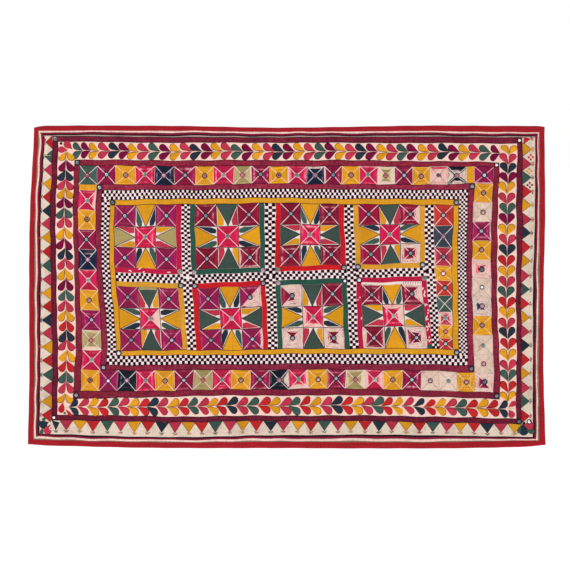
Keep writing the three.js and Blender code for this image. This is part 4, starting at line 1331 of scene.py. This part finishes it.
for key, (kind, swapped, cornerDye, frameDye, kinds, wear) in blocks.items():
    net = nets[key]
    slab = clothSlab(lambda s, t: netPlace(net, s, t), *star["blockSize"], star["blockForm"])
    layCloth("star block cloth " + key, [slab], blockCloth, "patch_silk", "star_block_" + key)
    sewnNet, pile = net.copy(), Pile()
    if key == mends["block"]:
        sewnNet[0, :, 1] -= mends["drop"]
        inset = [0, mends["stripInset"]]
        strip = stripBetween(net[0] - inset, sewnNet[0] + inset, 0)
        mendPile.add(stripSlab(strip, star["form"]), "starGround")
        for share in np.linspace(*mends["tickShares"], mends["ticks"]):
            x, z = stripPlace(strip, np.array([share, share]), np.array(mends["tickRows"]))
            tack((x[0], z[0]), (x[1], z[1]), 1, mends["tick"], "wine")
    for number, (i, j) in enumerate(((0, 0), (2, 0), (0, 2), (2, 2), (1, 1))):
        cell = [sewnNet[j, i], sewnNet[j, i + 1], sewnNet[j + 1, i + 1], sewnNet[j + 1, i]]
        silkSquare(pile, cell, "crimson" if number == 4 else cornerDye, wear[number])
    for side, (point, first, second) in starCharts[kind].items():
        if key == "upper_1" and point == "spruce":
            point = "olive"
        first, second = (second, first) if swapped else (first, second)
        cell = starCell(sewnNet, side)
        corners = [np.array(cell(a, b)) for a, b in star["point"]]
        pile.add(triangleSlab(corners, star["form"]), point, kind=1, shade=dice.uniform(*star["shade"]))
        if (key, side) == (mends["faded"], "top"):
            (a, b), (runA, runB) = mends["scrapFrom"], mends["scrapRun"]
            mendPile.add(clothSlab(lambda s, t: cell(a + runA * s, b + runB * t), *mends["scrapSize"],
                                   mends["scrapForm"]), "olive")
        for mirrored, dye in ((False, first), (True, second)):
            pile.add(petalSlab(cell, mirrored, dye in ("yellow", "rose")), dye, kind=1,
                     shade=dice.uniform(*star["shade"]))
        for edge in (0.0, 1.0):
            share = np.linspace(0, 1, 5)
            patchSeams.add(*cell(edge + (0.5 - edge) * share, star["seamEnd"] * share), lifts["petal"],
                           "thread")
    for k in (1, 2):  # seams of the nine patches
        for line in (sewnNet[k], sewnNet[:, k]):
            patchSeams.add(line[:, 0], line[:, 1], lifts["patchSeam"], "thread")
    settle(pile.make("star patches " + key, [silk, dyedCotton]), "patch_silk")
    # frame strips on the sides away from the mustard frame
    width, foot = star["frameWidth"], key.startswith("upper")
    level = net[3] if foot else net[0]
    beyond = level + [0, -width if foot else width]
    pile = Pile()
    rows = {"level": (level, beyond, 0) if foot else (beyond, level, 0)}
    corner = np.array([[0, -width if foot else width]])
    for side, edge in (("left", net[:, 0]), ("right", net[:, 3])):
        if key.endswith("_1") and side == "left":
            continue
        far = edge + [width if side == "right" else -width, 0]
        edge, far = [np.concatenate([row, row[-1:] + corner] if foot else [row[:1] + corner, row])
                     for row in (edge, far)]
        rows[side] = (far, edge, 1) if side == "left" else (edge, far, 1)
        spot = far[-1] if foot else far[0]
        x = spot[0] + (-width / 2 if side == "right" else width / 2)
        z = spot[1] + (width / 2 if foot else -width / 2)
        sewMirror(x, z, kinds[side == "right"])
    for side, row in rows.items():
        strip = stripBetween(*row)
        gap = star["frameGap"] / stripSize(strip)[0]
        pile.add(clothSlab(lambda s, t: stripPlace(strip, gap + (1 - 2 * gap) * s, t), *stripSize(strip),
                           star["frameForm"]))
        for number in range(mends["flecks"].get(key, {}).get(side, 0)):
            shares = [dice.uniform(*mends[way]) for way in ("fleckAlong", "fleckAcross")]
            x, z = stripPlace(strip, *shares)
            lean = either(mends["fleckLean"]) + (0 if strip["axis"] else mends["quarterTurn"])
            length, across, thick = mends["fleck"]
            size = (length * dice.uniform(*mends["fleckLength"]), across, thick)
            spotPoints.add(x, z, lifts["fleck"], math.sin(lean), math.cos(lean), size, "starGround")
        if key == mends["block"] and side == "right":
            end = mends["greenEnd"] / stripSize(strip)[0]
            slab = clothSlab(lambda s, t: stripPlace(strip, 1 - end + end * s, t), mends["greenEnd"], width,
                             mends["greenForm"])
            mendPile.add(slab, "frameGreen")
    settle(pile.make("frame strips " + key, [frameCloth[frameDye]]), frameSlots[frameDye],
           "block_frame_" + key)
settle(mendPile.make("mends", [dyedCotton]), "patch_silk")
print("star blocks sewn on")

# checked sashing between the framed blocks: four uprights and a crossing strip, with the pitch of the checks
# in the upper and lower length of each upright and in the crossing strip below each block
sash = {"gap": 18.0, "upper": (8.5, 10.9, 10.0, 9.7), "lower": (10.0, 9.2, 9.9, 9.1),
        "level": (9.4, 10.2, 10.3, 10.6)}
sashStrips, sashRuns = [], []
for number in range(4):
    upper, lower = nets[f"upper_{number + 1}"], nets[f"lower_{number + 1}"]
    left = np.concatenate([upper[:, 3], lower[:, 3]]) + [sash["gap"], 0]
    if number < 3:
        after = [nets[f"{row}_{number + 2}"][:, 0] for row in ("upper", "lower")]
        after = np.concatenate(after) - [sash["gap"], 0]
    else:
        side = strips["square_column"]["first"]
        after = np.stack([np.interp(-left[:, 1], -side[:, 1], side[:, 0]), left[:, 1]], -1)
    sashStrips.append(stripBetween(left, after, 1))
    for part in ("upper", "lower"):
        rows = []
        for row in (left, after):
            halfway = (row[3:4] + row[4:5]) / 2
            rows.append(np.concatenate([row[:4], halfway] if part == "upper" else [halfway, row[4:]]))
        sashRuns.append((stripBetween(*rows, 1), 3, sash[part][number]))
    top, foot = upper[3] - [0, sash["gap"]], lower[0] + [0, sash["gap"]]
    for row in (top, foot):
        row[0, 0] -= sash["gap"] if number else 0
        row[-1, 0] += sash["gap"]
    sashStrips.append(stripBetween(top, foot, 0))
    sashRuns.append((sashStrips[-1], 3, sash["level"][number]))
sashCloth = cottonCloth("sashing cotton", "checkWhite", fade=0.04, slub=0.05, stain=0.1)
layCloth("check sashing cloth", [stripSlab(strip, checkForm) for strip in sashStrips], sashCloth,
         "check_cotton", "check_sashing")

checks = {"thickness": 0.6, "lift": 1.95, "draw": 0.05, "inset": 0.03, "stray": (0.08, 0.06), "lean": 0.08,
          "swell": ((1.02, 1.14), (1.02, 1.12)), "shade": (0.7, 1.6),
          "sides": {"top": (3, 8.3), "bottom": (3, 9.85), "left": (3, 8.9), "right": (4, 7.55)},
          "bald": ((-367, -546, 6.5), (241, -539, 6)),
          "scraps": (((892, -108), "red"), ((888, -159), "yellow"), ((889, -210), "wine")), "scrapSize": 7,
          "scrapReach": 8, "scrapLean": 0.1}
checkPoints = Points()
checkRuns = [(strips["check_border_" + side], *plan) for side, plan in checks["sides"].items()]
checkRuns += sashRuns
for strip, count, pitch in checkRuns:
    length, width = stripSize(strip)
    along, inner = round(length / pitch), 1 - 2 * checks["inset"]
    for i in range(along):
        for j in range(count):
            if (i + j) % 2:
                continue
            strayAlong, strayAcross = [either(far) for far in checks["stray"]]
            x, z = stripPlace(strip, (i + 0.5 + strayAlong) / along,
                              checks["inset"] + inner * (j + 0.5 + strayAcross) / count)
            if any(math.hypot(x - there[0], z - there[1]) < there[2] for there in checks["bald"]):
                continue
            swellAlong, swellAcross = [dice.uniform(*span) for span in checks["swell"]]
            size = [length / along * swellAlong, width * inner / count * swellAcross]
            if strip["axis"]:
                size.reverse()
            lean = either(checks["lean"])
            checkPoints.add(x, z, checks["lift"], 1, lean, size + [unit], "checkBlack",
                            dice.uniform(*checks["shade"]))
for (x, z), dye in checks["scraps"]:
    for across, up in ((0, 1), (1, 0), (0, -1), (-1, 0)):
        size = (checks["scrapSize"], checks["scrapSize"], unit)
        checkPoints.add(x + across * checks["scrapReach"], z + up * checks["scrapReach"], lifts["scrap"], 1,
                        either(checks["scrapLean"]), size, dye)
settle(growPiece("small checks", checkShape, checkPoints, Draw=checks["draw"],
                 Thickness=checks["thickness"] * mm, Cloth=dyedCotton), "check_cotton")
print("checks sewn on")

# mirrors where the bands turn their corners: upper left, upper right, lower left, lower right
cornerMirrors = {
    "outer_band": ("dark", "white", "white", "dim"),
    "middle_band": ("dim", "white", "corner", "dim"),
    "inner_band": ("corner", "corner", "corner", "dim"),
    "mustard_frame": ("dim", "corner", "bright", "corner"),
}
for family, kinds in cornerMirrors.items():
    for number, kind in enumerate(kinds):
        strip = strips[family + ("_top" if number < 2 else "_bottom")]
        length, width = stripSize(strip)
        share = width / 2 / length
        sewMirror(*stripPlace(strip, 1 - share if number % 2 else share, 0.5), kind)
settle(growPiece("round spots", seedShape, spotPoints, Segments=12, Rings=6, Material=dyedCotton),
       "border_cotton")
settle(growPiece("mirrors", seedShape, mirrors, Segments=16, Rings=6, Material=glass), "mirror_glass")
settle(growPiece("mirror stitches", ringShape, rings, Stitches=20, Reach=0.48, Width=0.27, Slant=0.25,
                 Thread=thread), "mirror_glass")
print("mirrors sewn on:", len(mirrors.places))

# dark thread laid in the seams between the bands, also standing for the painted shade in the seams
for family in cornerMirrors:
    for side in sides:
        for share in (0, 1):
            seamThreadAndShade.addAlong(strips[f"{family}_{side}"], share, lifts["seam"], "seam")
for name, lines, radius, corners, slot in (
        ("seam threads and painted shade", seamThreadAndShade, 1.1, 5, "maroon_cotton"),
        ("couched threads", couching, 1.2, 6, "patch_silk"),
        ("patch seams", patchSeams, 1.1, 5, "patch_silk"),
        ("stem threads", stems, 0.85, 5, "border_cotton")):
    settle(growPiece(name, threadShape, lines, Radius=radius * mm, Sides=corners, Thread=thread), slot)
settle(growPiece("cross stitches", seedShape, crossStitches, Segments=5, Rings=3, Material=thread),
       "border_cotton")
print("threads laid")

# pale floor, soft light, camera straight in front as in the photograph
studio = {
    "lens": 85, "distance": 4.924, "aimX": -0.0055, "aimZ": -0.576,
    "floorZ": -2.2, "floorSize": 80, "sky": 0.42,
    # name, place, size and power
    "lamps": (("key", (-2.6, -3.4, 1.6), 2.2, 54), ("fill", (3.0, -3.6, -0.4), 2.6, 15)),
}
bpy.ops.mesh.primitive_plane_add(size=studio["floorSize"], location=(0, 0, 0))
floor = bpy.context.object
floor.name = "floor"
floor.data.transform(Matrix.Translation((0, 0, studio["floorZ"])))
paper, _, shader = startMaterial("white paper floor")
shader.inputs["Base Color"].default_value = (0.9, 0.9, 0.9, 1)
shader.inputs["Roughness"].default_value = 1.0
shader.inputs["Emission Color"].default_value = (1, 1, 1, 1)
shader.inputs["Emission Strength"].default_value = 0.66
floor.data.materials.append(paper)

world = bpy.data.worlds.new("studio")
bpy.context.scene.world = world
world.use_nodes = True
sky = world.node_tree
sky.nodes.clear()
seen = put(sky, "LightPath", out="Is Camera Ray")
strength = put(sky, "MapRange", (seen, 0, 1, studio["sky"], 1.0))
white = put(sky, "Background", {"Color": (1, 1, 1, 1), "Strength": strength})
put(sky, "OutputWorld", {"Surface": white}, out=None)

for name, place, size, power in studio["lamps"]:
    lamp = bpy.data.lights.new(name, "AREA")
    lamp.size = size
    lamp.energy = power
    holder = bpy.data.objects.new(name, lamp)
    bpy.context.scene.collection.objects.link(holder)
    holder.location = place
    aim = Vector((0, 0, studio["aimZ"])) - Vector(place)
    holder.rotation_euler = aim.to_track_quat("-Z", "Y").to_euler()

camera = bpy.data.cameras.new("camera")
camera.lens = studio["lens"]
holder = bpy.data.objects.new("camera", camera)
bpy.context.scene.collection.objects.link(holder)
holder.location = (studio["aimX"], -studio["distance"], studio["aimZ"])
holder.rotation_euler = (math.pi / 2, 0, 0)
bpy.context.scene.camera = holder
bpy.context.scene.view_settings.view_transform = "Standard"
